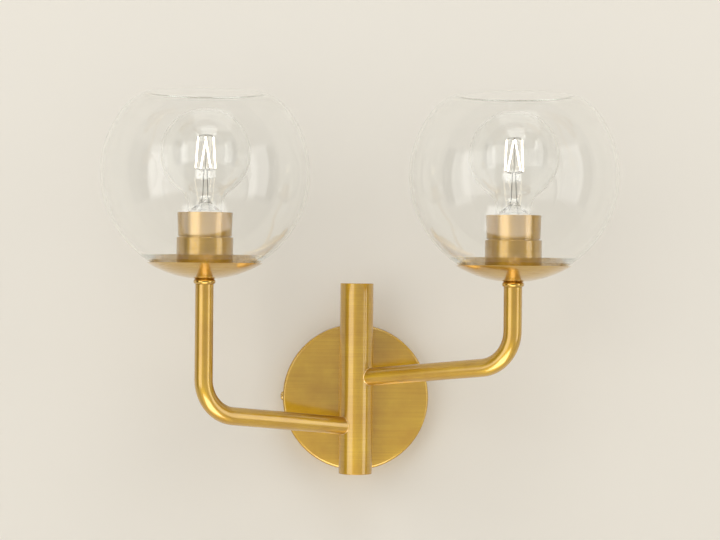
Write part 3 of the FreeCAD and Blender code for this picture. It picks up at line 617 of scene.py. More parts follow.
class Finish(Enum):
    """The finishes of the fixture, and the slot of the record that each belongs to."""

    PLATE = ("brushed_brass",
             Metal("brass_plate", BRASS_LIGHT, BRASS_DARK, (0.34, 0.46), Lay.LEVEL, 0.003, on_mesh=False))
    COLUMN = ("brushed_brass",
              Metal("brass_column", BRASS_LIGHT, BRASS_DARK, (0.42, 0.5), Lay.AROUND, 0.0, 0.3))
    TUBE = ("brushed_brass", Metal("brass_tube", BRASS_LIGHT, BRASS_DARK, (0.36, 0.44), Lay.ALONG, 0.0))
    # Cups and sleeves take the darker brass copy, which is painted shade.
    TURNED = ("brushed_brass",
              Metal("brass_turned", BRASS_SHADED, BRASS_SHADED_DARK, (0.3, 0.38), Lay.AROUND, 0.0, 0.3))
    DISH = ("polished_brass", Metal("brass_dish", BRASS_LIGHT, BRASS_DARK, (0.22, 0.3), Lay.RINGS, 0.0))
    BEAD = ("polished_brass", Metal("brass_bead", BRASS_LIGHT, BRASS_DARK, (0.22, 0.3), Lay.AROUND, 0.0))
    SMALL = ("polished_brass",
             Metal("brass_small", BRASS_LIGHT, BRASS_DARK, (0.34, 0.44), Lay.LEVEL, 0.002, on_mesh=False))
    BRAZE = ("raw_brass",
             Metal("brass_braze", linear(228, 190, 110), BRASS_DARK, (0.24, 0.36), Lay.ALONG, 0.003))
    RAW = ("raw_brass",
           Metal("brass_raw", BRASS_CUT, linear(160, 122, 66), (0.3, 0.45), Lay.UPRIGHT, 0.004, on_mesh=False))
    SHELL = ("raw_brass",
             Metal("brass_shell", BRASS_CUT, linear(170, 132, 70), (0.22, 0.36), Lay.AROUND, 0.003))
    ZINC = ("zinc_steel",
            Metal("zinc_plate", linear(200, 202, 200), linear(150, 152, 152), (0.3, 0.5),
                  Lay.LEVEL, 0.005, on_mesh=False, coat=0.0))
    NICKEL = ("nickel_cap",
              Metal("rolled_nickel", linear(214, 212, 206), linear(170, 168, 160), (0.14, 0.26),
                    Lay.AROUND, 0.002, coat=0.0))
    WIRE = ("fine_wire",
            Metal("drawn_wire", linear(150, 146, 140), linear(96, 92, 88), (0.25, 0.4),
                  Lay.UPRIGHT, 0.001, on_mesh=False, coat=0.0))
    GLOBE = ("clear_glass", Glass("globe_glass", (0.66, 0.78, 0.7), 5.0, 0.0, 0.15, 1.4))
    BULB = ("bulb_clear_glass", Glass("bulb_glass", (0.62, 0.8, 0.7), 5.0, 0.0, 0.15, 1.45))
    STEM = ("bulb_clear_glass", Glass("bulb_stem_glass", (0.7, 0.8, 0.74), 8.0, 0.002, 0.15, 1.2))
    BLACK = ("black_insulator",
             Moulded("black_vitrite", linear(34, 32, 34), linear(18, 17, 20), 0.18, 1.2, 0.004, 0.5))
    PORCELAIN = ("porcelain",
                 Moulded("glazed_porcelain", linear(238, 234, 224), linear(226, 220, 208), 0.3, 1.4, 0.004, 0.7))
    SILICONE = ("silicone",
                Moulded("pale_silicone", linear(226, 226, 220), linear(208, 208, 202), 0.55, 2.4, 0.006))
    SLEEVING = ("lead_sleeving",
                Moulded("braided_sleeving", linear(222, 216, 200), linear(196, 188, 170), 0.7, 1.6, 0.05))
    FILAMENT = ("lit_filament",
                Moulded("lit_strip", linear(255, 250, 236), linear(255, 238, 205), 0.5, 0.9, 0.01, glow=3.0))

    def dress(self, piece: Piece) -> None:
        """Gives a piece this finish.

        Args:
            piece: The object.
        """
        slot, look = self.value
        material = bpy.data.materials.get(look.name) or look.make()
        if piece.data.materials:
            for i in range(len(piece.data.materials)):
                piece.data.materials[i] = material
        else:
            piece.data.materials.append(material)


def place(piece: Piece, body: str, finish: Finish, *nodes: str) -> Piece:
    """Dresses a piece, rides it on its body and lets it stand for its nodes.

    Args:
        piece: The piece.
        body: Name of the body it moves with.
        finish: Its finish.
        *nodes: The CAD nodes that it stands for.

    Returns:
        The piece.
    """
    finish.dress(piece)
    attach(piece, body)
    if nodes:
        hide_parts(*nodes)
    LOG.info("%s on %s, %d vertices", piece.name, body, len(piece.data.vertices))
    return piece


def keep(finish: Finish, *nodes: str) -> None:
    """Dresses CAD nodes that stay as they are.

    Args:
        finish: Their finish.
        *nodes: Names of the nodes.
    """
    for node in nodes:
        finish.dress(frame["nodes"][node])
        LOG.info("%s keeps its solid", node)


# ---------------------------------------------------------------- the fixture

BODY = "fixture"
SIDES = (("left", -1, -25.0), ("right", 1, 19.0))  # name, direction and height of the arm's line in mm
ROOT_SHARE = 0.8  # where the arm's path starts, as a share of the column's radius
BEND_STEPS = 24


@dataclass
class Canopy:
    """The round cover on the wall, with its bracket and screws.

    Attributes:
        outer: Outer radius in mm.
        depth: How far it stands out of the wall.
        wall: Thickness of the sheet.
        edge: Rounding of the front edge.
        hole: Radius of the stem hole.
        bevel: Bevel of the rim at the wall.
        crown: Width of the flat rings beside the rounded edge.
    """

    outer: float = 66.5
    depth: float = 22.0
    wall: float = 1.2
    edge: float = 2.4
    hole: float = 5.2
    bevel: float = 0.15
    crown: float = 8.0

    def build(self) -> None:
        """Makes the spun cover and dresses what holds it."""
        axis = Axis(along=Vector((0, -1, 0)))
        inner = self.outer - self.wall
        corner = self.outer - self.edge
        low = self.depth - self.edge
        outline = [(inner, 0.0), (self.outer - self.bevel, 0.0), (self.outer, self.bevel)]
        outline += arc((corner, low), self.edge, 0, 90, 10)
        outline += [(corner - self.crown, self.depth), (self.hole + 12.0, self.depth), (self.hole, self.depth)]
        outline += [(self.hole, self.depth - self.wall), (corner - self.crown, self.depth - self.wall)]
        outline += arc((corner, low), self.edge - self.wall, 90, 0, 6)
        place(lathe("canopy_cover", outline, axis, 256), BODY, Finish.PLATE, "canopy")
        keep(Finish.ZINC, "wall_bracket", "canopy_catch", "stem_washer")
        keep(Finish.RAW, "stem_locknut", "stem_nipple", "ground_screw")
        keep(Finish.SMALL, "canopy_side_screw", "stem_collar")


@dataclass
class Column:
    """The upright tube with flush caps.

    Attributes:
        out: Distance of its axis from the wall, in mm.
        radius: Outer radius.
        wall: Thickness of the tube.
        low: Height of its lower end.
        high: Height of its upper end.
        edge: Bevel of the ends.
    """

    out: float = 45.0
    radius: float = 15.0
    wall: float = 1.5
    low: float = -67.2
    high: float = 104.3
    edge: float = 0.5

    def build(self) -> None:
        """Makes the tube and dresses its caps."""
        inner = self.radius - self.wall
        outline = softened([
            (inner, self.low), (self.radius, self.low, self.edge), (self.radius, self.high, self.edge),
            (inner, self.high)])
        tube_axis = Axis(Vector((0, -self.out, 0)))
        place(lathe("column_tube", outline, tube_axis, 160), BODY, Finish.COLUMN, "column")
        keep(Finish.SMALL, "column_top_cap", "column_bottom_cap")


@dataclass
class Arm:
    """One bent tube from the column to its holder.

    Attributes:
        side: Name of the side.
        sign: -1 on the left and 1 on the right.
        height: Height of its line at the column's axis, in mm.
        column: The column it is brazed to.
        reach: Distance of the holder's axis from the column's.
        forward: Degrees that it leans out of the wall's plane.
        rise: Degrees that the run climbs.
        bend: Radius of the bend.
        top: Height of its upper end.
        radius: Outer radius of the tube.
        wall: Thickness of the tube.
        bead: Radius of the braze where it meets the column.
    """

    side: str
    sign: int
    height: float
    column: Column
    reach: float = 158.0
    forward: float = 33.0
    rise: float = 6.0
    bend: float = 33.0
    top: float = 102.7
    radius: float = 7.95
    wall: float = 1.2
    bead: float = 0.55

    @property
    def outward(self) -> Vector:
        """Level direction from the column to the holder."""
        turn = math.radians(self.forward)
        return Vector((self.sign * math.cos(turn), -math.sin(turn), 0))

    @property
    def foot(self) -> Vector:
        """The point of the column's axis that the arm's line starts from."""
        return Vector((0, -self.column.out, self.height))

    @property
    def holder(self) -> Vector:
        """The foot of the holder's axis, at height 0."""
        spot = self.foot + self.outward * self.reach
        return Vector((spot.x, spot.y, 0))

    def route(self) -> list[Vector]:
        """Centre line of the tube, from inside the column to its upper end."""
        rise = math.radians(self.rise)
        ahead = self.outward * math.cos(rise) + Vector((0, 0, math.sin(rise)))
        corner = self.foot + ahead * (self.reach / math.cos(rise))
        turn = math.pi / 2 - rise
        back = self.bend * math.tan(turn / 2)
        start = corner - ahead * back
        middle = start + (Vector((0, 0, 1)) - ahead * math.sin(rise)).normalized() * self.bend
        spoke = start - middle
        points = [self.foot + ahead * (self.column.radius * ROOT_SHARE)]
        points += [points[0].lerp(start, t) for t in (0.25, 0.5, 0.75)]
        level = ahead.cross(Vector((0, 0, 1))).normalized()
        for k in range(BEND_STEPS + 1):
            points.append(middle + Matrix.Rotation(turn * k / BEND_STEPS, 3, level) @ spoke)
        points.append(Vector((points[-1].x, points[-1].y, self.top)))
        return points

    def to_column(self, spot: Vector, ahead: Vector, clear: float) -> Vector:
        """Slides a point along the arm until it lies on the column's wall.

        Args:
            spot: A point on the tube's first ring.
            ahead: Direction of the run.
            clear: How far outside the wall it stops, in mm.

        Returns:
            The point on the column.
        """
        flat = Vector((ahead.x, ahead.y))
        off = Vector((spot.x, spot.y + self.column.out))
        limit = self.column.radius + clear
        a, b, c = flat.dot(flat), 2 * flat.dot(off), off.dot(off) - limit * limit
        return spot + ahead * ((-b + math.sqrt(b * b - 4 * a * c)) / (2 * a))

    def build(self) -> None:
        """Makes the tube with its coped root, and the braze round the joint."""
        path = self.route()
        sides = 64
        piece = tube(self.side + "_arm_tube", path, [self.radius] * len(path), self.radius - self.wall, sides)
        ahead = (path[1] - path[0]).normalized()
        verts = piece.data.vertices
        first = list(range(sides)) + list(range(len(verts) - sides, len(verts)))
        for index in first:
            verts[index].co = self.to_column(verts[index].co / MM, ahead, 0.02) * MM
        place(piece, BODY, Finish.TUBE, self.side + "_arm")
        seam = [verts[index].co / MM for index in range(sides)]
        place(self.braze(seam), BODY, Finish.BRAZE)
        keep(Finish.SLEEVING, self.side + "_leads")
        keep(Finish.RAW, self.side + "_arm_bush")

    def braze(self, seam: list[Vector]) -> Piece:
        """A thin bead of filler along the seam.

        Args:
            seam: Points of the line where tube and column meet.

        Returns:
            The bead.
        """
        points, grain = [], []
        steps = 8
        count = len(seam)
        middle = sum(seam, Vector()) / count
        for i, spot in enumerate(seam):
            ahead = (seam[(i + 1) % count] - seam[i - 1]).normalized()
            outward = spot - middle
            outward = (outward - ahead * outward.dot(ahead)).normalized()
            third = ahead.cross(outward)
            for k in range(steps):
                angle = math.tau * k / steps
                points.append(spot + (outward * math.cos(angle) + third * math.sin(angle)) * self.bead)
                grain.append(Vector((math.cos(angle), math.sin(angle), i)))
        rings = [range(i * steps, (i + 1) * steps) for i in range(count)]
        return finished_mesh(self.side + "_arm_braze", points, grain, skin([*rings, rings[0]], steps))


@dataclass
class Held:
    """Something that stands on the axis of one holder.

    Attributes:
        side: Name of the side.
        foot: Foot of the holder's axis, in mm.
    """

    side: str
    foot: Vector

    def turned(self, name: str, outline: Sequence[Point], sides: int, wave: Thread | None = None) -> Piece:
        """A piece turned about the holder's axis and named for its side."""
        return lathe(f"{self.side}_{name}", outline, Axis(self.foot), sides, wave)

    def put(self, piece: Piece, finish: Finish, node: str, body: str = BODY) -> None:
        """Places a piece that stands for one node of its side."""
        place(piece, body, finish, f"{self.side}_{node}")

    def leave(self, finish: Finish, *nodes: str) -> None:
        """Dresses nodes of its side that keep their solids."""
        keep(finish, *(f"{self.side}_{node}" for node in nodes))


@dataclass
class GlobeSeat(Held):
    """Bead ring, dish and gaskets under a globe.

    Attributes:
        ring_low: Height of the ring's underside.
        ring_high: Height of its top.
        waist: Radius of the ring's flat faces.
        bulge: How far its side bulges.
        bore: Radius of its hole.
        sphere: Radius of the dish's outer sphere.
        rim: Outer radius of the dish's rim.
        seat: Radius of the dish's flat seat.
        wall: Thickness of the dish.
        hole: Radius of the hole in the dish.
    """

    ring_low: float = 102.7
    ring_high: float = 107.5
    waist: float = 7.2
    bulge: float = 2.4
    bore: float = 5.05
    sphere: float = 95.0
    rim: float = 50.0
    seat: float = 8.95
    wall: float = 1.2
    hole: float = 5.2

    @property
    def centre(self) -> float:
        """Height of the dish's sphere centre."""
        return self.ring_high + math.sqrt(self.sphere ** 2 - self.seat ** 2)

    def build(self) -> None:
        """Makes ring and dish, and dresses the gaskets."""
        half = (self.ring_high - self.ring_low) / 2
        bow = (half * half + self.bulge * self.bulge) / (2 * self.bulge)
        lean = math.degrees(math.asin(half / bow))
        middle = (self.waist + self.bulge - bow, (self.ring_low + self.ring_high) / 2)
        side = arc(middle, bow, -lean, lean, 14)
        ring = [(self.bore, self.ring_low), *side, (self.bore, self.ring_high)]
        self.put(self.turned("bead_ring", ring, 96), Finish.BEAD, "arm_ring")

        outer = self.sphere
        inner = self.sphere - self.wall
        drop = math.sqrt(outer ** 2 - self.rim ** 2)
        low = -math.degrees(math.acos(self.seat / outer))
        high = -math.degrees(math.acos(self.rim / outer))
        floor = self.ring_high + self.wall
        inner_low = -math.degrees(math.asin((self.centre - floor) / inner))
        inner_high = -math.degrees(math.asin(drop / inner))
        centre = (0.0, self.centre)
        under = arc(centre, outer, low, high, 40)
        over = arc(centre, inner, inner_high, inner_low, 40)
        lip = softened([under[-2], (*under[-1], 0.35), (*over[0], 0.35), over[1]], closed=False)
        outline = [(self.hole, self.ring_high), *under[:-2], *lip, *over[2:], (self.hole, floor)]
        self.put(self.turned("dish_bowl", outline, 192), Finish.DISH, "dish")
        self.leave(Finish.SILICONE, "seat_gasket", "upper_gasket")
        self.leave(Finish.RAW, "holder_nipple", "holder_nut")


@dataclass
class Globe(Held):
    """The open-topped blown glass globe.

    Attributes:
        radius: Outer radius.
        wall: Thickness of the glass.
        under: Height of the ground base.
        flat: Radius of the ground base.
        hole: Radius of the hole in the base.
        base: Thickness of the base.
        floor: Radius of the flat floor inside.
        toe: Radius where the thick glass above the base starts to rise.
        heel: Height where it joins the wall.
        shoulder: Degrees above level where the mouth's tighter curve starts.
        draw: Radius of that curve.
        lip: Thickness of the glass at the mouth.
        mouth: Height of the mouth over the centre.
    """

    radius: float = 89.98
    wall: float = 2.2
    under: float = 111.39
    flat: float = 23.75
    hole: float = 16.0
    base: float = 3.9
    floor: float = 18.5
    toe: float = 27.6
    heel: float = 128.6
    shoulder: float = 38.0
    draw: float = 39.96
    lip: float = 1.4
    mouth: float = 68.96

    def outline(self) -> list[Point]:
        """Section of the glass, from the hole out, up, round the lip and back down inside."""
        centre = self.under + math.sqrt(self.radius ** 2 - self.flat ** 2)
        turn = math.radians(self.shoulder)
        gap = self.radius - self.draw
        mouth_centre = (gap * math.cos(turn), centre + gap * math.sin(turn))
        top = math.degrees(math.asin((centre + self.mouth - mouth_centre[1]) / self.draw))
        inner = self.radius - self.wall
        low = -math.degrees(math.acos(self.flat / self.radius))
        joint = -math.degrees(math.asin((centre - self.heel) / inner))
        outer_side = arc((0.0, centre), self.radius, low, self.shoulder, 120)
        steps = 28
        outer_draw = arc(mouth_centre, self.draw, self.shoulder, top, steps)[1:]
        inner_draw = []
        for share in (k / steps for k in range(steps + 1)):
            turned = math.radians(top + (self.shoulder - top) * share)
            reach = self.draw - self.lip - (self.wall - self.lip) * share
            inner_draw.append((mouth_centre[0] + reach * math.cos(turned), mouth_centre[1] + reach * math.sin(turned)))
        inner_side = arc((0.0, centre), inner, self.shoulder, joint, 110)[1:]
        bottom = softened([inner_side[-1], (self.toe, self.under + self.base, 2.0),
                           (self.floor, self.under + self.base)], closed=False)[1:]
        middle = [(a + b) / 2 for a, b in zip(outer_draw[-1], inner_draw[0])]
        lip = arc(tuple(middle), self.lip / 2, top, top + 180, 8)[1:-1]
        return [(self.hole, self.under), *outer_side, *outer_draw, *lip, *inner_draw, *inner_side, *bottom,
                (self.hole, self.under + self.base)]

    def build(self) -> None:
        """Makes the globe."""
        self.put(self.turned("glass_globe", self.outline(), 320), Finish.GLOBE, "globe")


@dataclass
class Lampholder(Held):
    """Cup, threaded spigot, screw-on sleeve, porcelain core and screw shell.

    Attributes:
        floor: Height of the cup's underside.
        cup: Outer radius of the cup.
        cup_top: Height of the cup's shoulder.
        spigot: Radius of the threaded spigot.
        spigot_top: Height of its upper end.
        sleeve_low: Height of the sleeve's lower edge.
        sleeve_top: Height of its upper edge.
        sleeve_radii: Its outer radius at the lower and the upper edge.
        mouth: Radius of the sleeve's mouth.
        shell: Inner radius of the screw shell.
        shell_low: Height of the shell's floor.
        shell_top: Height of its upper edge.
        shell_hole: Radius of the hole in its floor.
        cup_wall: Thickness of the cup.
        spigot_wall: Thickness of the spigot.
        sleeve_wall: Thickness of the sleeve.
    """

    floor: float = 116.29
    cup: float = 24.45
    cup_top: float = 143.29
    spigot: float = 22.2
    spigot_top: float = 150.09
    sleeve_low: float = 144.09
    sleeve_top: float = 164.49
    sleeve_radii: tuple[float, float] = (23.18, 23.9)
    mouth: float = 20.5
    shell: float = 13.15
    shell_low: float = 132.14
    shell_top: float = 161.39
    shell_hole: float = 4.6
    cup_wall: float = 1.2
    spigot_wall: float = 1.1
    sleeve_wall: float = 0.9

    def build(self) -> None:
        """Makes cup, sleeve and screw shell, and dresses the core and the contact."""
        wall = self.cup_wall
        inner = self.spigot - self.spigot_wall
        cup = softened([
            (5.2, self.floor), (self.cup, self.floor, 2.2), (self.cup, self.cup_top, 0.8),
            (self.spigot, self.cup_top), (self.spigot, self.spigot_top, 0.25), (inner, self.spigot_top, 0.2),
            (inner, self.cup_top - wall * 2), (self.cup - wall, self.cup_top - wall * 2),
            (self.cup - wall, self.floor + wall, 1.0), (5.2, self.floor + wall)])
        self.put(self.turned("cup", cup, 128), Finish.TURNED, "holder_cup")

        low_r, top_r = self.sleeve_radii
        thick = self.sleeve_wall
        sleeve = softened([
            (low_r - thick, self.sleeve_low), (low_r, self.sleeve_low, 0.7), (top_r, self.sleeve_top, 0.5),
            (self.mouth, self.sleeve_top, 0.3), (self.mouth, self.sleeve_top - thick, 0.2),
            (top_r - thick, self.sleeve_top - thick, 0.3), (low_r - thick, self.spigot_top)])
        self.put(self.turned("sleeve_ring", sleeve, 128), Finish.TURNED, "holder_sleeve", self.side + "_sleeve")

        skin, rows = ROLLED_SHEET, THREAD_ROWS
        outer = self.shell + skin
        span = self.shell_top - self.shell_low - skin
        inside = [(self.shell, self.shell_low + skin + span * k / rows) for k in range(rows + 1)]
        outside = [(outer, self.shell_top - span * k / rows) for k in range(rows + 1)]
        shell = [(self.shell_hole, self.shell_low + skin), *inside, *outside, (outer, self.shell_low),
                 (self.shell_hole, self.shell_low)]
        thread = Thread(self.shell_low + 5.0, self.shell_top - 1.0)
        self.put(self.turned("threaded_shell", shell, 96, thread), Finish.SHELL, "screw_shell")
        self.leave(Finish.PORCELAIN, "holder_core")
        self.leave(Finish.RAW, "centre_contact")


@dataclass
class Bulb(Held):
    """A lit globe bulb with four straight filaments.

    Attributes:
        tip: Height of the centre contact.
        radius: Outer radius of the glass.
        centre: Height of the glass sphere's centre.
        wall: Thickness of the glass.
        neck: Outer radius of the neck.
        neck_round: Radius of the hollow between neck and sphere.
        cap: Outer radius of the screw cap.
        cap_top: Height of the cap's upper edge.
        insert: Radius of the glass inside the cap.
        inside_cap: How far the glass reaches into the cap.
        rise: How far its shoulder stands above the cap.
        stick_low: Height of the filaments' feet.
        stick_length: Rise of a filament.
        stick_radius: Radius of a filament.
        spread: Distance of feet and heads from the axis.
        twist: Degrees that the feet are turned against the heads.
        wire: Radius of the wires.
    """

    tip: float = 137.09
    radius: float = 39.0
    centre: float = 215.49
    wall: float = 0.9
    neck: float = 15.0
    neck_round: float = 16.0
    cap: float = 13.05
    cap_top: float = 163.09
    insert: float = 12.6
    inside_cap: float = 6.0
    rise: float = 3.0
    stick_low: float = 202.39
    stick_length: float = 27.0
    stick_radius: float = 0.7
    spread: tuple[float, float] = (9.5, 6.5)
    twist: float = 30.0
    wire: float = 0.32

    def build(self) -> None:
        """Makes envelope, cap, stem, filaments and wires, and dresses the small parts."""
        body = self.side + "_bulb"
        self.put(self.turned("envelope", self.envelope(), 160), Finish.BULB, "bulb_glass", body)
        self.put(self.make_cap(), Finish.NICKEL, "bulb_cap", body)
        self.put(self.make_stem(), Finish.STEM, "bulb_stem", body)
        self.put(self.make_filaments(), Finish.FILAMENT, "bulb_filaments", body)
        self.leave(Finish.BLACK, "bulb_insulator")
        self.leave(Finish.RAW, "bulb_contact")
        self.put(self.make_wires(), Finish.WIRE, "bulb_frame", body)

    def envelope(self) -> list[Point]:
        """Section of the blown glass, up outside and down inside."""
        reach = self.radius + self.neck_round
        offset = self.neck + self.neck_round
        fall = math.sqrt(reach ** 2 - offset ** 2)
        lean = math.degrees(math.atan2(fall, offset))
        hollow = (offset, self.centre - fall)
        middle = (0.0, self.centre)
        thin = self.radius - self.wall
        shoulder = self.cap_top + self.rise
        end = self.cap_top - self.inside_cap
        outside = softened([(self.insert, end), (self.insert, self.cap_top, 1.5), (self.neck, shoulder, 2.0),
                            (self.neck, self.centre - fall)], closed=False)
        outside += arc(hollow, self.neck_round, 180, 180 - lean, 18)[1:]
        outside += arc(middle, self.radius, -lean, 90, 56)[1:]
        inside = arc(middle, thin, 90, -lean, 56)
        inside += arc(hollow, self.neck_round + self.wall, 180 - lean, 180, 18)[1:]
        inside += softened([inside[-1], (self.neck - self.wall, shoulder, 1.0),
                            (self.insert - self.wall, self.cap_top, 1.0), (self.insert - self.wall, end)],
                           closed=False)[1:]
        outside[-1] = (0.0, outside[-1][1])
        inside[0] = (0.0, inside[0][1])
        return [*outside, *inside]

    def make_cap(self) -> Piece:
        """The screw cap, a thin shell with a pressed thread."""
        skin, rows = ROLLED_SHEET, THREAD_ROWS
        collar = self.tip + 4.4
        low = collar + 1.6
        span = self.cap_top - low
        outside = [(self.cap, low + span * k / rows) for k in range(rows + 1)]
        inside = [(self.cap - skin, self.cap_top - (span - skin) * k / rows) for k in range(rows + 1)]
        outline = [(0.0, collar), (self.cap - 1.2, collar), *outside, *inside, (0.0, low + skin)]
        thread = Thread(low, self.cap_top - 6.5)
        return self.turned("threaded_cap", outline, 96, thread)

    def make_stem(self) -> Piece:
        """The inner glass stem with its flare and its bead."""
        flare = self.cap_top + self.rise
        bead = self.tip + 60.0
        outline = softened([
            (0.0, flare + 9.6), (4.1, flare + 5.0, 2.0), (13.0, flare, 0.3), (13.9, flare, 0.3),
            (6.4, flare + 5.5, 3.0), (3.2, flare + 11.0, 2.0), (3.2, bead - 3.4, 1.0), (4.7, bead - 1.2, 1.2),
            (4.7, bead + 1.2, 1.2), (2.9, bead + 3.4, 0.8), (1.6, bead + 4.5, 0.5), (0.0, bead + 4.5)], closed=False)
        return self.turned("stem_glass", outline, 48)

    def spoke(self, quarter: int, foot: bool) -> Vector:
        """An end of a filament.

        Args:
            quarter: Number of the filament, from 0 to 3.
            foot: Whether its lower end is meant.

        Returns:
            The point in mm.
        """
        angle = math.radians(90 * quarter + (self.twist if foot else 0.0))
        out = self.spread[0] if foot else self.spread[1]
        height = self.stick_low + (0.0 if foot else self.stick_length)
        return self.foot + Vector((out * math.cos(angle), out * math.sin(angle), height))

    def make_filaments(self) -> Piece:
        """Four coated strips that lean and twist together towards the top."""
        sticks = []
        for quarter in range(4):
            low, high = self.spoke(quarter, True), self.spoke(quarter, False)
            shares = (0.0, 0.012, 0.035, 0.5, 0.965, 0.988, 1.0)
            radii = [self.stick_radius * share for share in (0.5, 0.87, 1.0, 1.0, 1.0, 0.87, 0.5)]
            sticks.append(tube("stick", [low.lerp(high, share) for share in shares], radii, sides=20))
        return joined(self.side + "_light_strips", sticks)

    def make_wires(self) -> Piece:
        """The wires that carry and feed the filaments: a post, its crown, four feet and two leads."""
        hub = self.foot + Vector((0, 0, self.tip + 64.3))
        crown = self.foot + Vector((0, 0, self.stick_low + self.stick_length + 1.8))
        runs = [[hub, crown]]
        for quarter in range(4):
            low, high = self.spoke(quarter, True), self.spoke(quarter, False)
            runs.append([hub, hub.lerp(low, 0.55) - Vector((0, 0, 1.2)), low])
            runs.append([high, high.lerp(crown, 0.35) + Vector((0, 0, 0.7)), crown])
        for sign in (-1, 1):
            beside = Vector((1.9 * sign, 0, 0))
            runs.append([self.foot + Vector((5.5 * sign, 0, self.cap_top - 4.0)),
                         self.foot + beside + Vector((0, 0, self.cap_top + 15.0)), hub + beside * 0.6])
        wires = [tube("wire", run, [self.wire] * len(run), sides=10) for run in runs]
        return joined(self.side + "_support_wires", wires)


# ---------------------------------------------------------------- room, light and camera

@dataclass
class Room:
    """A plain pale wall behind the fixture and a floor far below, both see-through from behind.

    Attributes:
        wall_half: Half width of the wall, in m.
        floor: Height of the floor, in m.
        ceiling: Height of the wall's upper edge.
        box_hole: Radius of the wall's hole behind the canopy, in m.
        paint: Colour of the wall.
        boards: Colour of the floor.
    """

    wall_half: float = 2.6
    floor: float = -1.3
    ceiling: float = 2.2
    box_hole: float = 0.0658
    paint: Colour = linear(231, 227, 218)
    boards: Colour = linear(222, 216, 206)

    def build(self) -> None:
        """Makes both surfaces."""
        w, low, high = self.wall_half, self.floor, self.ceiling
        gap = 0.0002
        steps = 64
        hole, edge = [], []
        for k in range(steps):
            across, up = math.cos(math.tau * k / steps), math.sin(math.tau * k / steps)
            hole.append((self.box_hole * across, gap, self.box_hole * up))
            reach = min(w / max(abs(across), 1e-9), (high if up > 0 else -low) / max(abs(up), 1e-9))
            edge.append((reach * across, gap, reach * up))
        ring = [(k, steps + k, steps + (k + 1) % steps, (k + 1) % steps) for k in range(steps)]
        self.surface("wall", [*hole, *edge], ring, self.paint)
        self.surface("floor", [(-w, -2 * w, low), (w, -2 * w, low), (w, gap, low), (-w, gap, low)], [(0, 1, 2, 3)],
                     self.boards)

    def surface(self, name: str, corners: list[tuple[float, float, float]], faces: list[tuple[int, ...]],
                colour: Colour) -> None:
        """Makes one flat surface of the room.

        Args:
            name: Its name.
            corners: Its corners in m.
            faces: The corners' numbers of each face.
            colour: Its colour.
        """
        mesh = bpy.data.meshes.new(name)
        mesh.from_pydata(corners, [], faces)
        piece = linked(name, mesh)
        sheet = Sheet("paint_" + name)
        spot = sheet.add("ShaderNodeTexCoord").outputs["Object"]
        cloud = sheet.noise(spot, 3.0, 2.0)
        roll = sheet.noise(spot, 420.0, 3.0)
        low = tuple(c * 0.985 for c in colour)
        matt = sheet.add("ShaderNodeBsdfPrincipled", {
            "Base Color": sheet.blend(cloud, low, colour), "Roughness": 0.75, "Specular IOR Level": 0.25,
            "Normal": sheet.bump(roll, 0.03)})
        clear = sheet.add("ShaderNodeBsdfTransparent")
        behind = sheet.add("ShaderNodeNewGeometry").outputs["Backfacing"]
        mixed = sheet.add("ShaderNodeMixShader", {0: behind, 1: matt.outputs[0], 2: clear.outputs[0]})
        mesh.materials.append(sheet.finish(mixed.outputs[0]))


class Role(Enum):
    """What a card does: whether it lights the room, and whether metal and glass reflect it."""

    BOX = (True, True)
    WASH = (True, False)
    CARD = (False, True)


@dataclass
class Panel:
    """A soft-edged panel beside the camera.

    Attributes:
        name: Its name.
        spot: Its middle, in m.
        width: Width in m.
        height: Height in m.
        strength: Its radiance.
        role: What it does.
        aim: The point it faces.
        tone: Colour of its light.
    """

    name: str
    spot: tuple[float, float, float]
    width: float
    height: float
    strength: float
    role: Role = Role.BOX
    aim: tuple[float, float, float] = (0.0, -0.13, 0.16)
    tone: Colour = (1.0, 0.99, 0.97)

    def build(self) -> None:
        """Makes the panel."""
        half_w, half_h = self.width / 2, self.height / 2
        mesh = bpy.data.meshes.new(self.name)
        mesh.from_pydata([(-half_w, -half_h, 0), (half_w, -half_h, 0), (half_w, half_h, 0), (-half_w, half_h, 0)],
                         [], [(0, 1, 2, 3)])
        card = linked(self.name, mesh)
        facing = Vector(self.aim) - Vector(self.spot)
        card.matrix_world = Matrix.Translation(self.spot) @ facing.to_track_quat("Z", "Y").to_matrix().to_4x4()
        card.visible_camera = False
        card.visible_diffuse, card.visible_glossy = self.role.value
        card.visible_shadow = False
        sheet = Sheet("card_" + self.name)
        spot = sheet.add("ShaderNodeTexCoord").outputs["Generated"]
        parts = sheet.add("ShaderNodeSeparateXYZ", {0: spot})
        fades = []
        for axis in ("X", "Y"):
            off = sheet.maths("ABSOLUTE", sheet.maths("SUBTRACT", parts.outputs[axis], 0.5))
            fades.append(sheet.span(off, 1.0, 0.0, 0.4, 0.5))
        behind = sheet.add("ShaderNodeNewGeometry").outputs["Backfacing"]
        share = sheet.maths("MULTIPLY", sheet.maths("MULTIPLY", *fades), sheet.maths("SUBTRACT", 1.0, behind))
        clear = sheet.add("ShaderNodeBsdfTransparent")
        glow = sheet.add("ShaderNodeEmission", {"Color": (*self.tone, 1), "Strength": self.strength})
        mixed = sheet.add("ShaderNodeMixShader", {0: share, 1: clear.outputs[0], 2: glow.outputs[0]})
        mesh.materials.append(sheet.finish(mixed.outputs[0]))


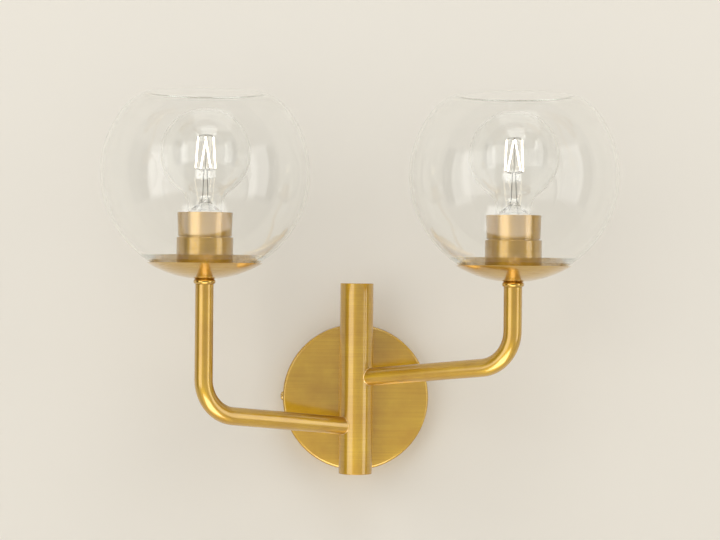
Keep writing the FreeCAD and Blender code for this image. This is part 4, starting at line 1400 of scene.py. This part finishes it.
@dataclass
class Studio:
    """Light boxes, flags, the pale surround and the camera.

    Attributes:
        surround: Strength of the surround's light.
        seen: Colour of the surround where it is seen straight, in metal or through glass.
        camera_spot: Place of the camera, in m.
        lens: Focal length in mm on a 36 mm wide sensor.
        shift: Sideways shift of the picture, as a share of its width.
        roll: Degrees that the camera leans to its left.
    """

    surround: float = 0.76
    seen: Colour = linear(207, 203, 197)
    camera_spot: tuple[float, float, float] = (-0.031, -1.849, 0.116)
    lens: float = 100.0
    shift: float = 0.0517
    roll: float = 0.55

    def build(self) -> None:
        """Makes the lights, the surround and the camera."""
        Panel("left_box", (-1.45, -1.75, 0.25), 1.7, 2.1, 2.0).build()
        Panel("right_box", (1.88, -1.06, 0.25), 1.1, 2.1, 2.0).build()
        Panel("top_wash", (0.2, -1.3, 2.1), 1.6, 1.2, 3.0, Role.WASH).build()
        Panel("low_card", (-0.06, -0.86, -0.8), 1.1, 0.85, 3.8, Role.CARD).build()
        Panel("left_flag", (-1.95, -0.62, 0.2), 0.9, 1.9, 0.12, Role.CARD).build()
        Panel("right_flag", (2.0, -0.45, 0.2), 0.5, 1.9, 0.12, Role.CARD).build()
        self.build_surround()
        self.build_camera()
        scene = bpy.context.scene
        scene.view_settings.view_transform = "Standard"
        scene.cycles.max_bounces = 24
        scene.cycles.transmission_bounces = 24
        scene.cycles.glossy_bounces = 8
        scene.cycles.transparent_max_bounces = 48
        scene.cycles.sample_clamp_indirect = 6.0

    def build_surround(self) -> None:
        """Makes the world: a pale room that the camera sees as plain off-white."""
        sheet = Sheet("surround", world=True)
        path = sheet.add("ShaderNodeLightPath").outputs
        light = sheet.add("ShaderNodeBackground", {"Color": (1.0, 0.99, 0.975, 1), "Strength": self.surround})
        shown = sheet.add("ShaderNodeBackground", {"Color": (*self.seen, 1)})
        straight = sheet.maths("MAXIMUM", path["Is Camera Ray"], path["Is Glossy Ray"])
        either = sheet.maths("MAXIMUM", straight, path["Is Transmission Ray"])
        mix = sheet.add("ShaderNodeMixShader", {0: either, 1: light.outputs[0], 2: shown.outputs[0]})
        bpy.context.scene.world = sheet.finish(mix.outputs[0])

    def build_camera(self) -> None:
        """Makes the camera at the picture's viewing angle."""
        data = bpy.data.cameras.new("camera")
        data.lens = self.lens
        data.sensor_width = 36.0
        data.shift_x = self.shift
        data.clip_end = 50.0
        camera = linked("camera", data)
        upright = Matrix.Rotation(math.pi / 2, 4, "X")
        camera.matrix_world = (Matrix.Translation(self.camera_spot) @ upright
                               @ Matrix.Rotation(math.radians(self.roll), 4, "Z"))
        bpy.context.scene.camera = camera


def main() -> None:
    """Builds the fixture from the wall outward, then the room and the light."""
    logging.basicConfig(level=logging.INFO, format="%(message)s")
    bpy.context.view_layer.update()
    Studio().build()
    Room().build()
    Canopy().build()
    column = Column()
    column.build()
    for side, sign, height in SIDES:
        arm = Arm(side, sign, height, column)
        arm.build()
        GlobeSeat(side, arm.holder).build()
        Globe(side, arm.holder).build()
        Lampholder(side, arm.holder).build()
        Bulb(side, arm.holder).build()


if __name__ == "__main__":
    main()
